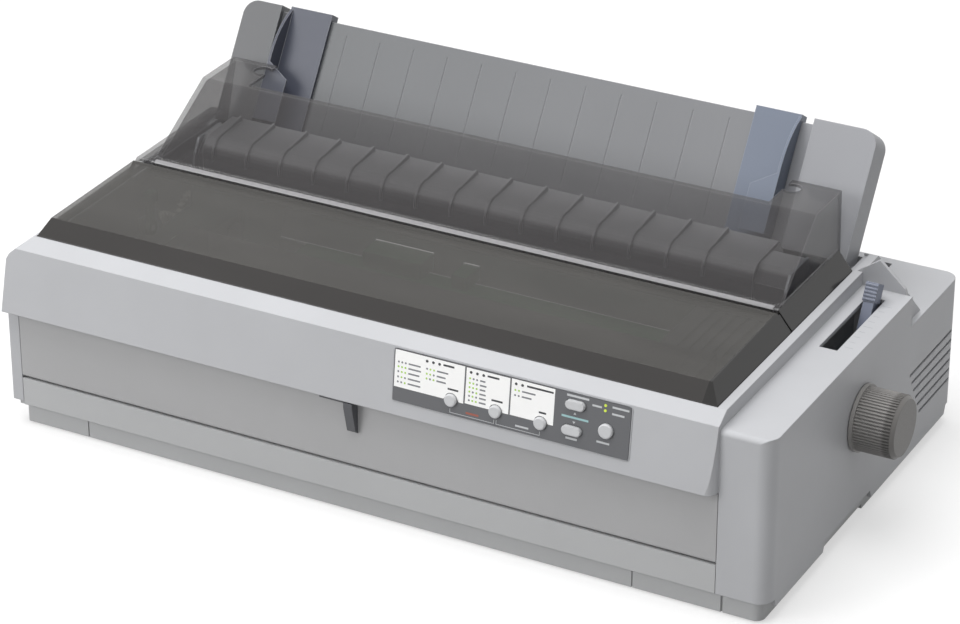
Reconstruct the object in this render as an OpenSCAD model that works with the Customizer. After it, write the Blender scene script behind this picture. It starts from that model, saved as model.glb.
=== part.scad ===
// Wide-carriage dot matrix printer.
// Every module draws in the case frame: x from the left face, y back from the front panel, z up
// from the desk. seat() then moves it so that the origin is under the middle of the whole printer.

/* [Case] */
// Width of the case without the platen knob
case_w = 606; // [600:1:640]
// Depth of the case from the front panel to the rear wall
case_d = 331.5; // [330:0.5:350]
// Thickness of the moulded walls
wall = 3; // [2.4:0.1:3.4]
// Height of the rubber feet
foot_h = 1.5; // [1:0.5:3]
// Height of the recessed plinth above the feet
plinth_h = 13.9; // [13:0.1:15]
// How far the plinth stands back from the case
plinth_inset = 4.5; // [4:0.1:5]
// Height of the rear deck
deck_z = 119; // [118:0.5:120]
// Height of the rim around the lid
rim_z = 153.3; // [153:0.1:155]
// Depth of the right plateau below the rim
plateau_drop = 10.3; // [9.5:0.1:11]
// Width of the right tower from its rim to its outer face
tower_w = 38.5; // [38:0.1:42]
// Radius of the upright front corner of the tower
corner_r = 11; // [8:0.5:12]
// Number of louvres in the right side
vent_count = 6; // [4:1:6]
// Distance between two louvres
vent_pitch = 7.9; // [7:0.1:8]

/* [Front] */
// Height of the lower front trim
trim_h = 22; // [21.6:0.1:22.2]
// Gap between the trim and the front cover
groove = 1.2; // [1:0.1:1.4]
// How far the fascia leans out over the front cover
fascia_out = 8; // [7:0.5:9]
// Height of the lower edge of the fascia
fascia_z = 95.3; // [95:0.1:96.5]
// Height of the crease between the fascia and its top slope
crease_z = 146; // [145.5:0.1:147]
// Width of the dark pull tab of the front cover
tab_w = 7; // [5:0.5:9]

/* [Lid and hood] */
// Gap between the lid and the case rim
lid_gap = 0.6; // [0.4:0.1:0.8]
// Thickness of the smoked covers
cover_t = 2.5; // [2:0.1:2.8]
// Height of the lid above the rim at its front crease
lid_rise = 11.2; // [10.5:0.1:12]
// Distance from the front panel to the lid hinge
hinge_y = 135.6; // [134:0.1:137]
// Radius of the round bar along the rear edge of the lid
hinge_r = 2.6; // [2.4:0.1:2.8]
// Height of the top of the hood
hood_z = 204.4; // [203:0.1:206]
// Distance from the front panel to the top front edge of the hood
hood_top_y = 209.5; // [208:0.5:211]

/* [Paper guide] */
// Lean of the paper guide back from upright
guide_lean = 32.9; // [32:0.1:34]
// Length of the paper guide along its face
guide_len = 96; // [92:1:96]
// Thickness of the two end towers of the guide
guide_t = 22.8; // [22:0.1:23.4]
// Radius of the outer top corners of the guide
guide_corner_r = 12; // [8:0.5:14]
// Distance between two ribs
rib_pitch = 29; // [27:0.5:29.5]
// Width of one sliding edge guide
edge_w = 36; // [34:0.2:38]

/* [Control panel] */
// Width of the dark panel on the fascia
panel_w = 180; // [178:1:184]
// Height of the dark panel along the fascia
panel_h = 38.6; // [37:0.2:38.8]
// Radius of the three small round buttons
button_r = 4.6; // [4:0.1:4.8]
// Radius of the pause button
pause_r = 5.3; // [5:0.1:5.5]
// Length of the two oval buttons
oval_l = 14.6; // [13:0.1:15]
// Height of the two oval buttons
oval_h = 6.8; // [6:0.1:7]
// Travel of every panel button
button_travel = 1.5; // [1:0.1:1.6]

/* [Platen drive] */
// Distance from the front panel to the platen axis
platen_y = 151; // [150.5:0.1:151.5]
// Height of the platen axis
platen_z = 89; // [88:0.5:90]
// Radius of the rubber roller
roller_r = 17.5; // [17:0.1:17.8]
// Gap between the roller and each side frame
roller_gap = 22; // [20:0.5:27]
// Radius of the platen shaft
shaft_r = 4; // [3.5:0.1:4.4]
// Radius of the knob
knob_r = 23; // [20:0.5:24]
// How far the knob stands out of the case
knob_out = 33; // [31:0.5:35]
// Number of grip ribs around the knob
knob_ribs = 60; // [40:1:64]
// Module of the feed gears
gear_m = 1.5; // [1.5:0.1:1.5]

/* [Carriage] */
// Radius of the carriage shaft
rail_r = 6; // [5.5:0.1:6.2]
// Distance from the front panel to the carriage shaft
rail_y = 98; // [97.5:0.1:98.5]
// Height of the carriage shaft
rail_z = 58; // [57.5:0.1:58.5]
// Width of the carriage
carriage_w = 56; // [50:1:60]
// Travel of the carriage to each side of the middle
carriage_half_travel = 168; // [160:1:170]
// Radius of the belt pulleys
pulley_r = 7; // [6.5:0.1:7.2]
// Thickness of the toothed belt
belt_t = 1.4; // [1.2:0.1:1.5]

/* [Tractors] */
// Width of a tractor body
tractor_w = 22; // [20:0.5:24]
// Radius of the tractor guide rod
rod_r = 3; // [2.5:0.1:3.2]
// Number of sprocket pins that show on a tractor
pin_count = 3; // [2:1:3]
// Standard pitch of the paper holes
pin_pitch = 12.7; // [12:0.1:13]

/* [Fits] */
// Radial clearance of every running shaft
run_gap = 0.05; // [0.03:0.01:0.08]
// Gap between a moving piece and its neighbour
slip = 0.4; // [0.3:0.05:0.5]

/* [Hidden] */
$fn = 48;
eps = 0.01;

// levels
case_z = foot_h;
plinth_top = case_z + plinth_h;
body_z = plinth_top + 2;
trim_top = body_z + trim_h;
cover_z = trim_top + groove;
plateau_z = rim_z - plateau_drop;
post_z = body_z + 2.6;
skirt_z = 10.6;
floor_z = case_z + wall;
skin_z = rim_z - 2 * wall;

// plan lines of the case
rim_x = case_w - tower_w;
rim_w = 6.8;
left_post = 8.9;
left_rim = 21.5;
left_drop = 16.5;
left_draft = 3.4;
well_x0 = left_rim;
well_x1 = rim_x - rim_w;
well_y0 = 10.2;
well_y1 = 262;
ledge = 4.5;
bay_x0 = well_x0 + ledge;
bay_x1 = well_x1 - ledge;
bay_y1 = case_d - 7.5;
slope_y0 = 267;
slope_y1 = 300;
fold_y = 1.7;
plinth_x0 = 9.5;
plinth_x1 = case_w - 5.7;
plinth_r = 7;
plinth_seams = [[62.3, 0.8], [rim_x - 63.6, 0.8], [rim_x + 3.5, 1.6]];
screw_inset = 18;
seam_ledge = screw_inset + 8;
grip_y = [97, 176];

// the release lever stands behind the platen and sets the length of its slot and plateau
lever_y = platen_y + 31;
slot_y0 = lever_y - 43.5;
slot_y1 = lever_y + 41.6;
plateau_end = slot_y1 + 14.4;

// fascia plane
fascia_tilt = atan((fascia_out - fold_y) / (crease_z - fascia_z));
fascia_len = (crease_z - fascia_z) / cos(fascia_tilt);

// front cover hinge
barrel_r = 2.5;
barrel_pin_r = 1.5;
cover_hinge_z = cover_z + barrel_r;
cover_top = fascia_z - 1;

// lid and hood
lid_x0 = well_x0 + lid_gap;
lid_x1 = well_x1 - lid_gap;
lid_y0 = well_y0 + lid_gap;
lid_z0 = rim_z - wall + 0.3;
lid_side = 11.5;
lid_side_l = 7;
crease_y = lid_y0 + lid_rise;
lid_z1 = rim_z + lid_rise;
hinge_top = lid_z1 + 2.9;
hinge_z = hinge_top - hinge_r;
lid_back = hinge_top - 1.2;
bar_groove = 1.6;
lid_end_y = hinge_y - 5;
ear_w = 3.4;
hood_x0 = lid_x0 + lid_side + 6.4;
hood_x1 = lid_x1 - lid_side;
hood_flare = 6.4;
hood_top_x1 = hood_x1 - hood_flare;
hinge_pin_r = 1.2;
hinge_pin_l = 11;
hood_front_y = hinge_y + hinge_r + 1.2;
hood_back_y = 254;
hood_foot_y = 236.5;
hood_tab_w = 38;
skirt_top = rim_z + 6;

// paper guide, in its own leaning frame: v back through its thickness, w up along its face
guide_x0 = 29.3;
guide_x1 = case_w - 53;
guide_y = 240.6;
guide_z = 155.8;
tower_l_w = 31.6;
tower_r_w = 50;
panel_x0 = guide_x0 + tower_l_w;
panel_x1 = guide_x1 - tower_r_w;
sheet_v = 5;
sheet_t = 3;
lip_w0 = guide_len - 8;
lip_w1 = guide_len - 4;
lip_v1 = 9.5;
pivot_v = guide_t - 6;
pivot_w = -3;
pivot_r = 3;
pivot_y = guide_y + pivot_v * cos(guide_lean) + pivot_w * sin(guide_lean);
pivot_z = guide_z - pivot_v * sin(guide_lean) + pivot_w * cos(guide_lean);
edge_t = 2.5;
edge_left_x = 67.8;
edge_right_x = case_w - 149.4;
leaf_out = 14.6;
leaf_rise = 39;
flap_in = 20;
flap_drop = 12.5;
rib_count = floor((panel_x1 - panel_x0) / rib_pitch) - 1;

// control panel and buttons: x in the case frame, s up the fascia from its lower edge
panel_x = rim_x - 243;
panel_s = 11;
panel_t = 1.4;
panel_sink = 0.8;
font_x = panel_x + 45.3;
pitch_x = panel_x + 79.5;
tear_x = panel_x + 113.7;
load_x = panel_x + 139;
feed_x = panel_x + 137.4;
pause_x = panel_x + 162.5;
row_s = 22;
pause_s = 28.5;
load_s = 41.4;
feed_s = 22.6;
led_r = 1.1;
led_s = 45.7;
led_pitch = 4.8;
// two rows of three and one of two above the labels, and one upright pair
led_list = concat(
    [for (g = [[25.5, 3], [59.4, 3], [93.8, 2]]) for (i = [0 : g[1] - 1])
        [panel_x + g[0] + led_pitch * i, led_s]],
    [for (i = [0, 1]) [panel_x + 160.8, led_s + 0.7 - 3.7 * i]]);
head_h = 2.4;
head_bevel = 0.8;
button_proud = (panel_t - panel_sink + head_h) * cos(fascia_tilt)
    - (row_s - button_r + head_bevel) * sin(fascia_tilt);
seat_x = -(case_w + knob_out) / 2;
seat_y = -(case_d - fascia_out - button_proud) / 2;
flange_t = 1.2;
board_depth = 9.5;
board_t = 1.6;

// platen and feed train
knob_gap = 0.6;
flange_h = 2.8;
bore_end = case_w + 26;
frame_l_x = 44;
frame_t = 2;
frame_r_x = case_w - 76;
roller_x = frame_l_x + frame_t + roller_gap;
roller_l = frame_r_x - roller_gap - roller_x;
train_x = 32;
train_t = 5;
second_x = 38.2;
second_t = 4;
platen_teeth = 32;
reduction_teeth = 24;
small_teeth = 8;
idler_teeth = 22;
tractor_teeth = 24;
mesh_gap = 0.2;
feed_angle = 11.6;
step_platen = gear_m * (platen_teeth + idler_teeth) / 2 + mesh_gap;
step_idler = gear_m * idler_teeth + mesh_gap;
step_tractor = gear_m * (idler_teeth + tractor_teeth) / 2 + mesh_gap;
idler_d = [step_platen, step_platen + step_idler, step_platen + 2 * step_idler];
tractor_d = idler_d[2] + step_tractor;
tractor_y = platen_y + tractor_d * cos(feed_angle);
tractor_z = platen_z + tractor_d * sin(feed_angle);
reduction_angle = -110;
reduction_d = gear_m * (platen_teeth + small_teeth) / 2 + mesh_gap;
reduction_y = platen_y + reduction_d * cos(reduction_angle);
reduction_z = platen_z + reduction_d * sin(reduction_angle);
pinion_d = gear_m * (reduction_teeth + small_teeth) / 2 + mesh_gap;
pinion_y = reduction_y;
pinion_z = reduction_z - pinion_d;
stud_r = 3;
bearing_r = 7;
feed_motor_r = 17;
feed_motor_l = 26;
motor_pin_r = 2.5;

// carriage
mid_x = (frame_l_x + frame_r_x + frame_t) / 2;
rail_bar_y = 56;
rail_bar_w = 12;
rail_bar_z = rail_z + 14;
rail_bar_t = 2;
tray_z = rail_bar_z + rail_bar_t + slip + 3.1;
pulley_y = rail_y - 10;
belt_z0 = rail_z - 22;
belt_h = 6;
drive_x = frame_r_x - 25;
idler_x = frame_l_x + 28;
flange_r = pulley_r + 2;
carriage_motor_r = 20;
carriage_motor_h = 18;
pedestal_z = 12;
chute_y = platen_y + 50;
chute_z = platen_z + 62.5;
frame_foot_y = [118, 300];
nose_y = platen_y - roller_r - 3.9;

// ribbon cartridge
ribbon_x0 = 75;
ribbon_x1 = case_w - 101;
ribbon_y0 = 24;
ribbon_y1 = 76;
ribbon_z0 = 104;
ribbon_z1 = 122;
arm_w = 15;
arm_y1 = platen_y - roller_r - 2;
band_y = nose_y + 1.4;
band_t = 0.4;
band_h = 12;
spool_x = 120;
spool_y = 50;
spool_r = 9;

// tractors
rod_y = tractor_y - 17;
rod_z = tractor_z - 7;
tractor_y0 = tractor_y - 22;
tractor_y1 = tractor_y + 22;
tractor_top = tractor_z + 12.6;
tractor_left_x = 90;
tractor_right_x = case_w - 142;
flap_r = 2;
flap_t = 1.8;
flap_len = 40;
flap_hinge_z = tractor_top + 1.5;

// levers
lever_x = case_w - 25.5;
lever_w = 8;
lever_z = 88.7;
lever_len = 78;
lever_lean = 29;
lever_pin_r = 3;
slot_x0 = case_w - 28.3;
slot_x1 = case_w - 14.9;
thick_y = 118;
thick_z = 120;
thick_len = 30;

// electronics
board_x0 = 60;
board_x1 = case_w - 201;
board_y1 = case_d - 9.5;
board_y0 = board_y1 - 132;
main_z = 19.2;
psu_x0 = case_w - 186;
psu_x1 = case_w - 92;
psu_y1 = case_d - 31.5;
psu_y0 = psu_y1 - 104;
psu_z1 = 70;
inlet_x = case_w - 152;
inlet_z = 41;
inlet_w = 28;
inlet_h = 22;
parallel_x = 145;
parallel_w = 52;
usb_x = 205;
usb_w = 13;
port_z = main_z + board_t;
switch_y = 70;
switch_z = 62;
switch_w = 14;
switch_h = 22;
rocker_x = 7;
rocker_tilt = 7;

// ---- helpers ----

module seat() {
    translate([seat_x, seat_y, 0]) children();
}

// extrudes a y-z outline along x
module along_x(x0, x1) {
    translate([x0, 0, 0]) rotate([90, 0, 90]) linear_extrude(x1 - x0) children();
}

// extrudes an x-z outline along y
module along_y(y0, y1) {
    translate([0, y1, 0]) rotate([90, 0, 0]) linear_extrude(y1 - y0) children();
}

module block(x, y, z) {
    translate([x[0], y[0], z[0]]) cube([x[1] - x[0], y[1] - y[0], z[1] - z[0]]);
}

module rod_x(x, y, z, r) {
    translate([x[0], y, z]) rotate([0, 90, 0]) cylinder(h = x[1] - x[0], r = r);
}

module rod_y(x, y, z, r) {
    translate([x, y[1], z]) rotate([90, 0, 0]) cylinder(h = y[1] - y[0], r = r);
}

module rod_z(x, y, z, r) {
    translate([x, y, z[0]]) cylinder(h = z[1] - z[0], r = r);
}

// points on an arc from angle a to angle b
function arc(c, r, a, b, n = 6) =
    [for (i = [0 : n]) [c[0] + r * cos(a + (b - a) * i / n), c[1] + r * sin(a + (b - a) * i / n)]];

// places children on the fascia: x across, y up the slope, z out of its face
module on_fascia(x, s) {
    translate([x, -fascia_out, fascia_z]) rotate([90 - fascia_tilt, 0, 0]) translate([0, s, 0])
        children();
}

// places children in the leaning frame of the paper guide: x across, y through it, z up it
module on_guide() {
    translate([0, guide_y, guide_z]) rotate([-guide_lean, 0, 0]) children();
}

// a spur gear outline with slim teeth, one tooth at angle zero
module gear_outline(teeth) {
    r = gear_m * teeth / 2;
    pitch = 360 / teeth;
    polygon([for (i = [0 : teeth - 1]) for (k = [[-0.31, -1.1], [-0.12, 0.75], [0.12, 0.75], [0.31, -1.1]])
        (r + k[1] * gear_m) * [cos((i + k[0]) * pitch), sin((i + k[0]) * pitch)]]);
}

// a gear on an axis along x, turned so that a tooth points at the given angle
module gear_x(x0, x1, y, z, teeth, angle) {
    translate([x0, y, z]) rotate([90, 0, 90]) rotate(angle)
        linear_extrude(x1 - x0) gear_outline(teeth);
}

// ---- case ----

module case_outline() {
    polygon([[0, body_z], [0, fascia_z], [-fascia_out, fascia_z], [-fold_y, crease_z],
             [well_y0, rim_z], [slope_y0, rim_z], [slope_y1, deck_z], [case_d, deck_z],
             [case_d, body_z]]);
}

module case_cavity_outline() {
    t = wall;
    polygon([[t, body_z - 1], [t, fascia_z + t], [-fascia_out + t + 0.4, fascia_z + t],
             [1.2, crease_z - 3.2], [8, skin_z], [slope_y0 - 3, skin_z],
             [slope_y1 - 2, deck_z - t], [case_d - t, deck_z - t], [case_d - t, body_z - 1]]);
}

module left_top_outline() {
    polygon([[0, body_z], [0, fascia_z], [left_draft, rim_z - left_drop],
             [left_draft + 2.6, rim_z - left_drop + 4.5], [left_draft + 7.6, rim_z - left_drop + 9.1],
             [left_rim, rim_z], [case_w, rim_z], [case_w, body_z]]);
}

// footprint of the case drawn in by d, with three rounded upright corners
module footprint(d, z0, z1) {
    r = corner_r;
    block([d, case_w - r], [d, case_d - r], [z0, z1]);
    block([r, case_w - r], [d, case_d - d], [z0, z1]);
    block([case_w - r - eps, case_w - d], [r, case_d - r], [z0, z1]);
    for (c = [[r, case_d - r], [case_w - r, case_d - r], [case_w - r, r]])
        rod_z(c[0], c[1], [z0, z1], r - d);
}

module case_body() {
    // main body, with the fascia leaning out in front of the footprint
    intersection() {
        along_x(0, rim_x) case_outline();
        along_y(-fascia_out - 1, case_d) left_top_outline();
        union() {
            footprint(0, body_z - 1, rim_z + 1);
            block([-1, rim_x - 7], [-fascia_out - 1, 60], [body_z - 1, rim_z + 1]);
            rod_z(rim_x - 8, 0, [body_z - 1, rim_z + 1], 8);
        }
    }
    // tower on the right
    intersection() {
        along_x(rim_x - eps, case_w) polygon(concat(
            [[0, body_z]], arc([4, plateau_z - 4], 4, 180, 90),
            [[plateau_end, plateau_z], [plateau_end, deck_z], [case_d, deck_z], [case_d, body_z]]));
        footprint(0, body_z - 1, plateau_z + 1);
    }
    // pointed fin behind the release lever, on a ramp that falls to the rear deck
    intersection() {
        along_y(plateau_end, slope_y1) polygon([[rim_x - 4, deck_z - wall], [rim_x - 4, rim_z],
            [rim_x + 12.5, rim_z + 11.8], [rim_x + 32.3, plateau_z + 4], [rim_x + 34, plateau_z - 1],
            [rim_x + 34, deck_z - wall]]);
        along_x(rim_x - 5, case_w) polygon([[plateau_end, deck_z - wall], [plateau_end, rim_z + 12],
            [plateau_end + wall, rim_z + 12], [plateau_end + wall, plateau_z], [plateau_end + 28, deck_z],
            [plateau_end + 28, deck_z - wall]]);
    }
}

module case_cavity() {
    intersection() {
        union() {
            difference() {
                along_x(wall, rim_x - wall) case_cavity_outline();
                along_y(-fascia_out, case_d) polygon([[0, rim_z], [0, fascia_z - 5], [wall, fascia_z - 5],
                    [left_draft + wall + 0.5, rim_z - left_drop - wall],
                    [left_draft + 9.1, rim_z - left_drop + 5.7], [left_rim, skin_z], [left_rim, rim_z]]);
            }
            block([rim_x - wall - eps, case_w], [wall, plateau_end - wall],
                  [body_z - 1, plateau_z - wall]);
            block([rim_x - wall - eps, case_w], [plateau_end - wall - eps, case_d],
                  [body_z - 1, deck_z - wall]);
        }
        union() {
            footprint(wall, body_z - 2, rim_z);
            block([wall, rim_x - wall], [-fascia_out, 60], [fascia_z, rim_z]);
        }
    }
}

module case_openings() {
    // front opening behind the cover and the trim
    block([left_post, rim_x + 0.4], [-eps, wall + eps], [body_z - 1, fascia_z]);
    // rebate and well under the lid and the hood
    block([well_x0, well_x1], [well_y0, well_y1 + 6], [rim_z - wall, rim_z + 20]);
    block([well_x0 + ledge, well_x1 - ledge], [well_y0 + ledge, well_y1 + 6], [skin_z - 1, rim_z + 20]);
    // tractor bay, open at the rear for fan-fold paper
    block([bay_x0, bay_x1], [well_y1, bay_y1], [deck_z - 10, rim_z + 1]);
    block([bay_x0 + 24, bay_x1 - 30], [bay_y1 - 1, case_d + 1], [deck_z - 14, deck_z + 1]);
    // slot of the release lever
    block([slot_x0, slot_x1], [slot_y0, slot_y1], [plateau_z - wall - 1, plateau_z + 1]);
    // way through for the platen shaft
    rod_x([case_w - wall - 1, case_w + 1], platen_y, platen_z, shaft_r + 4);
    // louvres in the right side
    for (i = [0 : vent_count - 1])
        block([case_w - wall - 1, case_w + 1], [plateau_end + 3.5 + 4.5 * i, case_d - 9 + i],
              [deck_z - 42.5 - vent_pitch * i, deck_z - 40 - vent_pitch * i]);
    // rear sockets
    block([inlet_x - inlet_w / 2, inlet_x + inlet_w / 2], [case_d - wall - 1, case_d + 1],
          [inlet_z - inlet_h / 2, inlet_z + inlet_h / 2]);
    block([parallel_x - parallel_w / 2 - 1, parallel_x + parallel_w / 2 + 1],
          [case_d - wall - 1, case_d + 1], [port_z - 1, port_z + 15]);
    block([usb_x - usb_w / 2 - 1, usb_x + usb_w / 2 + 1], [case_d - wall - 1, case_d + 1],
          [port_z - 1, port_z + 13]);
    // power switch in the left side
    block([-1, wall + 1], [switch_y - switch_w / 2, switch_y + switch_w / 2],
          [switch_z - switch_h / 2, switch_z + switch_h / 2]);
    // recess and holes of the control panel
    on_fascia(panel_x, panel_s) translate([0, 0, -panel_sink]) cube([panel_w, panel_h, 5]);
    button_holes(-8, 9);
}

// every hole that passes the panel and the fascia
module button_holes(z, h) {
    for (b = [[font_x, row_s], [pitch_x, row_s], [tear_x, row_s]])
        on_fascia(b[0], b[1]) translate([0, 0, z]) cylinder(h = h, r = button_r + slip);
    on_fascia(pause_x, pause_s) translate([0, 0, z]) cylinder(h = h, r = pause_r + slip);
    for (b = [[load_x, load_s], [feed_x, feed_s]])
        on_fascia(b[0], b[1]) translate([0, 0, z]) oval(oval_l + 2 * slip, oval_h + 2 * slip, h);
    for (b = led_list)
        on_fascia(b[0], b[1]) translate([0, 0, z]) cylinder(h = h, r = led_r);
}

module oval(l, w, h) {
    translate([-(l - w) / 2, -w / 2, 0]) cube([l - w, w, h]);
    for (s = [-1, 1]) translate([s * (l - w) / 2, 0, 0]) cylinder(h = h, r = w / 2);
}

function screw_points() = [for (x = [screw_inset, case_w - screw_inset]) for (y = [40, case_d - 31.5]) [x, y]];

// end wall's skirt from y0 to y1, with sloping ends
module skirt(x, y0, y1) {
    along_x(x, x + wall) polygon([[y0, body_z + 1], [y0 + 3, skirt_z], [y1 - 3, skirt_z], [y1, body_z + 1]]);
}

module upper_case() seat() color("#c0c2c6") {
    difference() {
        union() {
            difference() {
                case_body();
                case_cavity();
            }
            // stop lip behind the top of the front cover
            along_x(left_post + 2, rim_x - 2) polygon([[wall - 0.1, fascia_z], [wall - 0.1, fascia_z + wall],
                [6, fascia_z + wall], [6, cover_top - 7], [wall + slip, cover_top - 7], [wall + slip, fascia_z]]);
            // end blocks that carry the front cover's hinge
            block([wall - eps, left_post], [0.5, 7], [cover_hinge_z - 6, cover_hinge_z + 6]);
            block([rim_x + 0.4, rim_x + 8], [0.5, 7], [cover_hinge_z - 6, cover_hinge_z + 6]);
            // ears that carry the paper guide
            for (x = [[well_x0 - 4, guide_x0 - 0.5], [guide_x1 + 0.5, well_x1 + 4]])
                block(x, [pivot_y - 13, pivot_y + 13], [pivot_z - 11, rim_z - wall]);
            // screw bosses
            for (p = screw_points())
                block([p[0] < case_w / 2 ? wall - eps : p[0] - 6, p[0] < case_w / 2 ? p[0] + 6 : case_w - wall + eps],
                      [p[1] - 6, p[1] + 6], [body_z, body_z + 16]);
            // skirts over the ends of the tray, open at the finger grips
            for (x = [0, case_w - wall]) {
                skirt(x, x > 0 ? 12 : 24, grip_y[0]);
                skirt(x, grip_y[1], case_d - 12);
            }
            // posts that carry the panel board
            for (x = [panel_x + 4, panel_x + panel_w - 4]) for (s = [panel_s + 5, panel_s + panel_h - 6])
                on_fascia(x, s) translate([0, 0, -board_depth]) cylinder(h = board_depth - wall + 1, r = 2.5);
        }
        case_openings();
        // the left front post ends higher than the trim
        block([-1, left_post + slip], [-1, 12], [body_z - 1, post_z]);
        for (x = [[-1, left_post + 1], [rim_x - 1, rim_x + 6]])
            rod_x(x, barrel_r, cover_hinge_z, barrel_pin_r + run_gap);
        rod_x([well_x0 - 3, guide_x0 + 1], pivot_y, pivot_z, pivot_r + run_gap);
        rod_x([guide_x1 - 1, well_x1 + 3], pivot_y, pivot_z, pivot_r + run_gap);
        for (p = screw_points())
            rod_z(p[0], p[1], [body_z - 1, body_z + 12], 1.7);
    }
}

module lower_case() seat() color("#b2b4b8") {
    i = plinth_inset;
    difference() {
        union() {
            // tray
            difference() {
                union() {
                    block([plinth_x0, plinth_x1 - plinth_r], [i, case_d - i], [case_z, plinth_top]);
                    block([plinth_x0, plinth_x1], [i + plinth_r, case_d - i], [case_z, plinth_top]);
                    rod_z(plinth_x1 - plinth_r, i + plinth_r, [case_z, plinth_top], plinth_r);
                }
                block([plinth_x0 + wall, plinth_x1 - wall], [i + wall, case_d - i - wall], [floor_z, plinth_top + 1]);
            }
            // flange inside the walls of the upper case, under its screw bosses
            difference() {
                footprint(wall + slip, plinth_top - eps, body_z);
                block([seam_ledge, case_w - seam_ledge], [i + wall + 2, case_d - i - wall], [plinth_top - 1, body_z + 1]);
            }
            block([wall + slip, left_post], [wall + slip, 11.6], [body_z - eps, post_z]);
            // wall behind the trim
            block([left_post + 2, rim_x - 2], [wall, wall + 2.5], [body_z - eps, trim_top - 2]);
            // standoffs of the frames, the board, the supply and the motor
            for (x = [frame_l_x + 7, frame_r_x - 7]) for (y = [frame_foot_y[0] + 12, frame_foot_y[1] - 15])
                rod_z(x, y, [floor_z - eps, pedestal_z], 6);
            for (x = [board_x0 + 8, board_x1 - 8]) for (y = [board_y0 + 8, board_y1 - 24])
                rod_z(x, y, [floor_z - eps, main_z], 4);
            for (x = [psu_x0 + 12, psu_x1 - 12]) for (y = [psu_y0 + 10, psu_y1 - 10])
                rod_z(x, y, [floor_z - eps, pedestal_z], 5);
            rod_z(drive_x, pulley_y, [floor_z - eps, pedestal_z], 14);
            rod_z(idler_x, pulley_y, [floor_z - eps, belt_z0 - 2], 7);
            rod_z(idler_x, pulley_y, [belt_z0 - 3, belt_z0 + belt_h + 4], stud_r);
        }
        // finger grips in the bottom edge of both ends
        for (x = [[plinth_x0 - 1, plinth_x0 + wall + 1], [plinth_x1 - wall - 1, plinth_x1 + 1]])
            block(x, grip_y, [case_z - 1, case_z + 4]);
        // joints in the front of the plinth
        for (s = plinth_seams)
            block([s[0] - s[1] / 2, s[0] + s[1] / 2], [i - 1, i + 1.2], [case_z - 1, plinth_top - eps]);
        for (p = screw_points()) {
            rod_z(p[0], p[1], [case_z - 1, plinth_top + 4], 2);
            rod_z(p[0], p[1], [case_z - 1, plinth_top], 4.5);
        }
        for (p = foot_points()) rod_z(p[0], p[1], [case_z - 1, case_z + 1], 7);
    }
}

function foot_points() = [for (x = [45, case_w - 45]) for (y = [35, case_d - 35]) [x, y]];

module rubber_feet() seat() color("#3a3a3c") {
    for (p = foot_points()) rod_z(p[0], p[1], [0, case_z + 1], 7);
}

module case_screws() seat() color("#8f9194") {
    for (p = screw_points()) {
        rod_z(p[0], p[1], [plinth_top - 2.6, plinth_top], 3.5);
        rod_z(p[0], p[1], [plinth_top - eps, body_z + 10], 1.65);
    }
}

module front_trim() seat() color("#a9a9aa") {
    block([left_post + slip, rim_x], [0, wall], [body_z, trim_top]);
}

// ---- front cover ----

module front_cover() seat() color("#a6a6a7") {
    x0 = left_post + slip;
    block([x0, rim_x], [0, wall], [cover_hinge_z, cover_top]);
    rod_x([x0, rim_x], barrel_r, cover_hinge_z, barrel_r);
    rod_x([x0 - 4, x0 + 1], barrel_r, cover_hinge_z, barrel_pin_r);
    rod_x([rim_x - 1, rim_x + 4], barrel_r, cover_hinge_z, barrel_pin_r);
    for (x = [x0 + 60 : 90 : rim_x - 40])
        block([x, x + 2], [wall - eps, wall + 2.4], [cover_hinge_z + 4, cover_top - 10]);
}

module front_cover_pull() seat() color("#4a4b4e") {
    x = 285.8;
    foot = cover_top - 26.3;
    along_x(x, x + tab_w) polygon([[0, foot], [0, cover_top], [-fascia_out, cover_top],
        [-fascia_out, cover_top - 4], [-3.2, foot + 2]]);
    block([x - 22, x + eps], [-3, 0], [cover_top - 3.4, cover_top]);
}

// ---- smoked covers ----

// outer or inner body of the lid, drawn in by d
module lid_body(d) {
    intersection() {
        along_x(lid_x0, lid_x1) polygon([[lid_y0 + d, lid_z0 - (d > 0 ? 1 : 0)], [lid_y0 + d, rim_z],
            [crease_y + d * 0.6, lid_z1 - d], [hinge_y - 3, lid_back - d],
            [hinge_y - 3, lid_z0 - (d > 0 ? 1 : 0)]]);
        along_y(lid_y0, hinge_y) polygon([[lid_x0 + d, lid_z0 - 1], [lid_x0 + d, rim_z],
            [lid_x0 + lid_side_l + d * 0.4, hinge_top - d], [lid_x1 - lid_side - d * 0.4, hinge_top - d],
            [lid_x1 - d, rim_z], [lid_x1 - d, lid_z0 - 1]]);
    }
}

module lid() seat() color("#5f5e5c") {
    bar_x0 = hood_x0 + ear_w + slip;
    bar_x1 = hood_x1 - ear_w - slip;
    difference() {
        union() {
            difference() {
                lid_body(0);
                lid_body(cover_t);
                // room in front of the hinge ears
                block([lid_x0 - 1, bar_x0], [lid_end_y, hinge_y + 1], [lid_z0 - 2, hinge_top + 1]);
                block([bar_x1, lid_x1 + 1], [lid_end_y, hinge_y + 1], [lid_z0 - 2, hinge_top + 1]);
                // groove in front of the bar
                block([lid_x0 - 1, lid_x1 + 1], [hinge_y - 7, hinge_y + 1], [lid_back - bar_groove, hinge_top + 1]);
            }
            block([bar_x0, bar_x1], [hinge_y - 9, hinge_y],
                  [lid_back - bar_groove - cover_t, lid_back - bar_groove]);
            rod_x([bar_x0, bar_x1], hinge_y, hinge_z, hinge_r);
        }
        rod_x([bar_x0 - 1, bar_x0 + hinge_pin_l], hinge_y, hinge_z, hinge_pin_r + run_gap);
        rod_x([bar_x1 - hinge_pin_l, bar_x1 + 1], hinge_y, hinge_z, hinge_pin_r + run_gap);
    }
}

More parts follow.
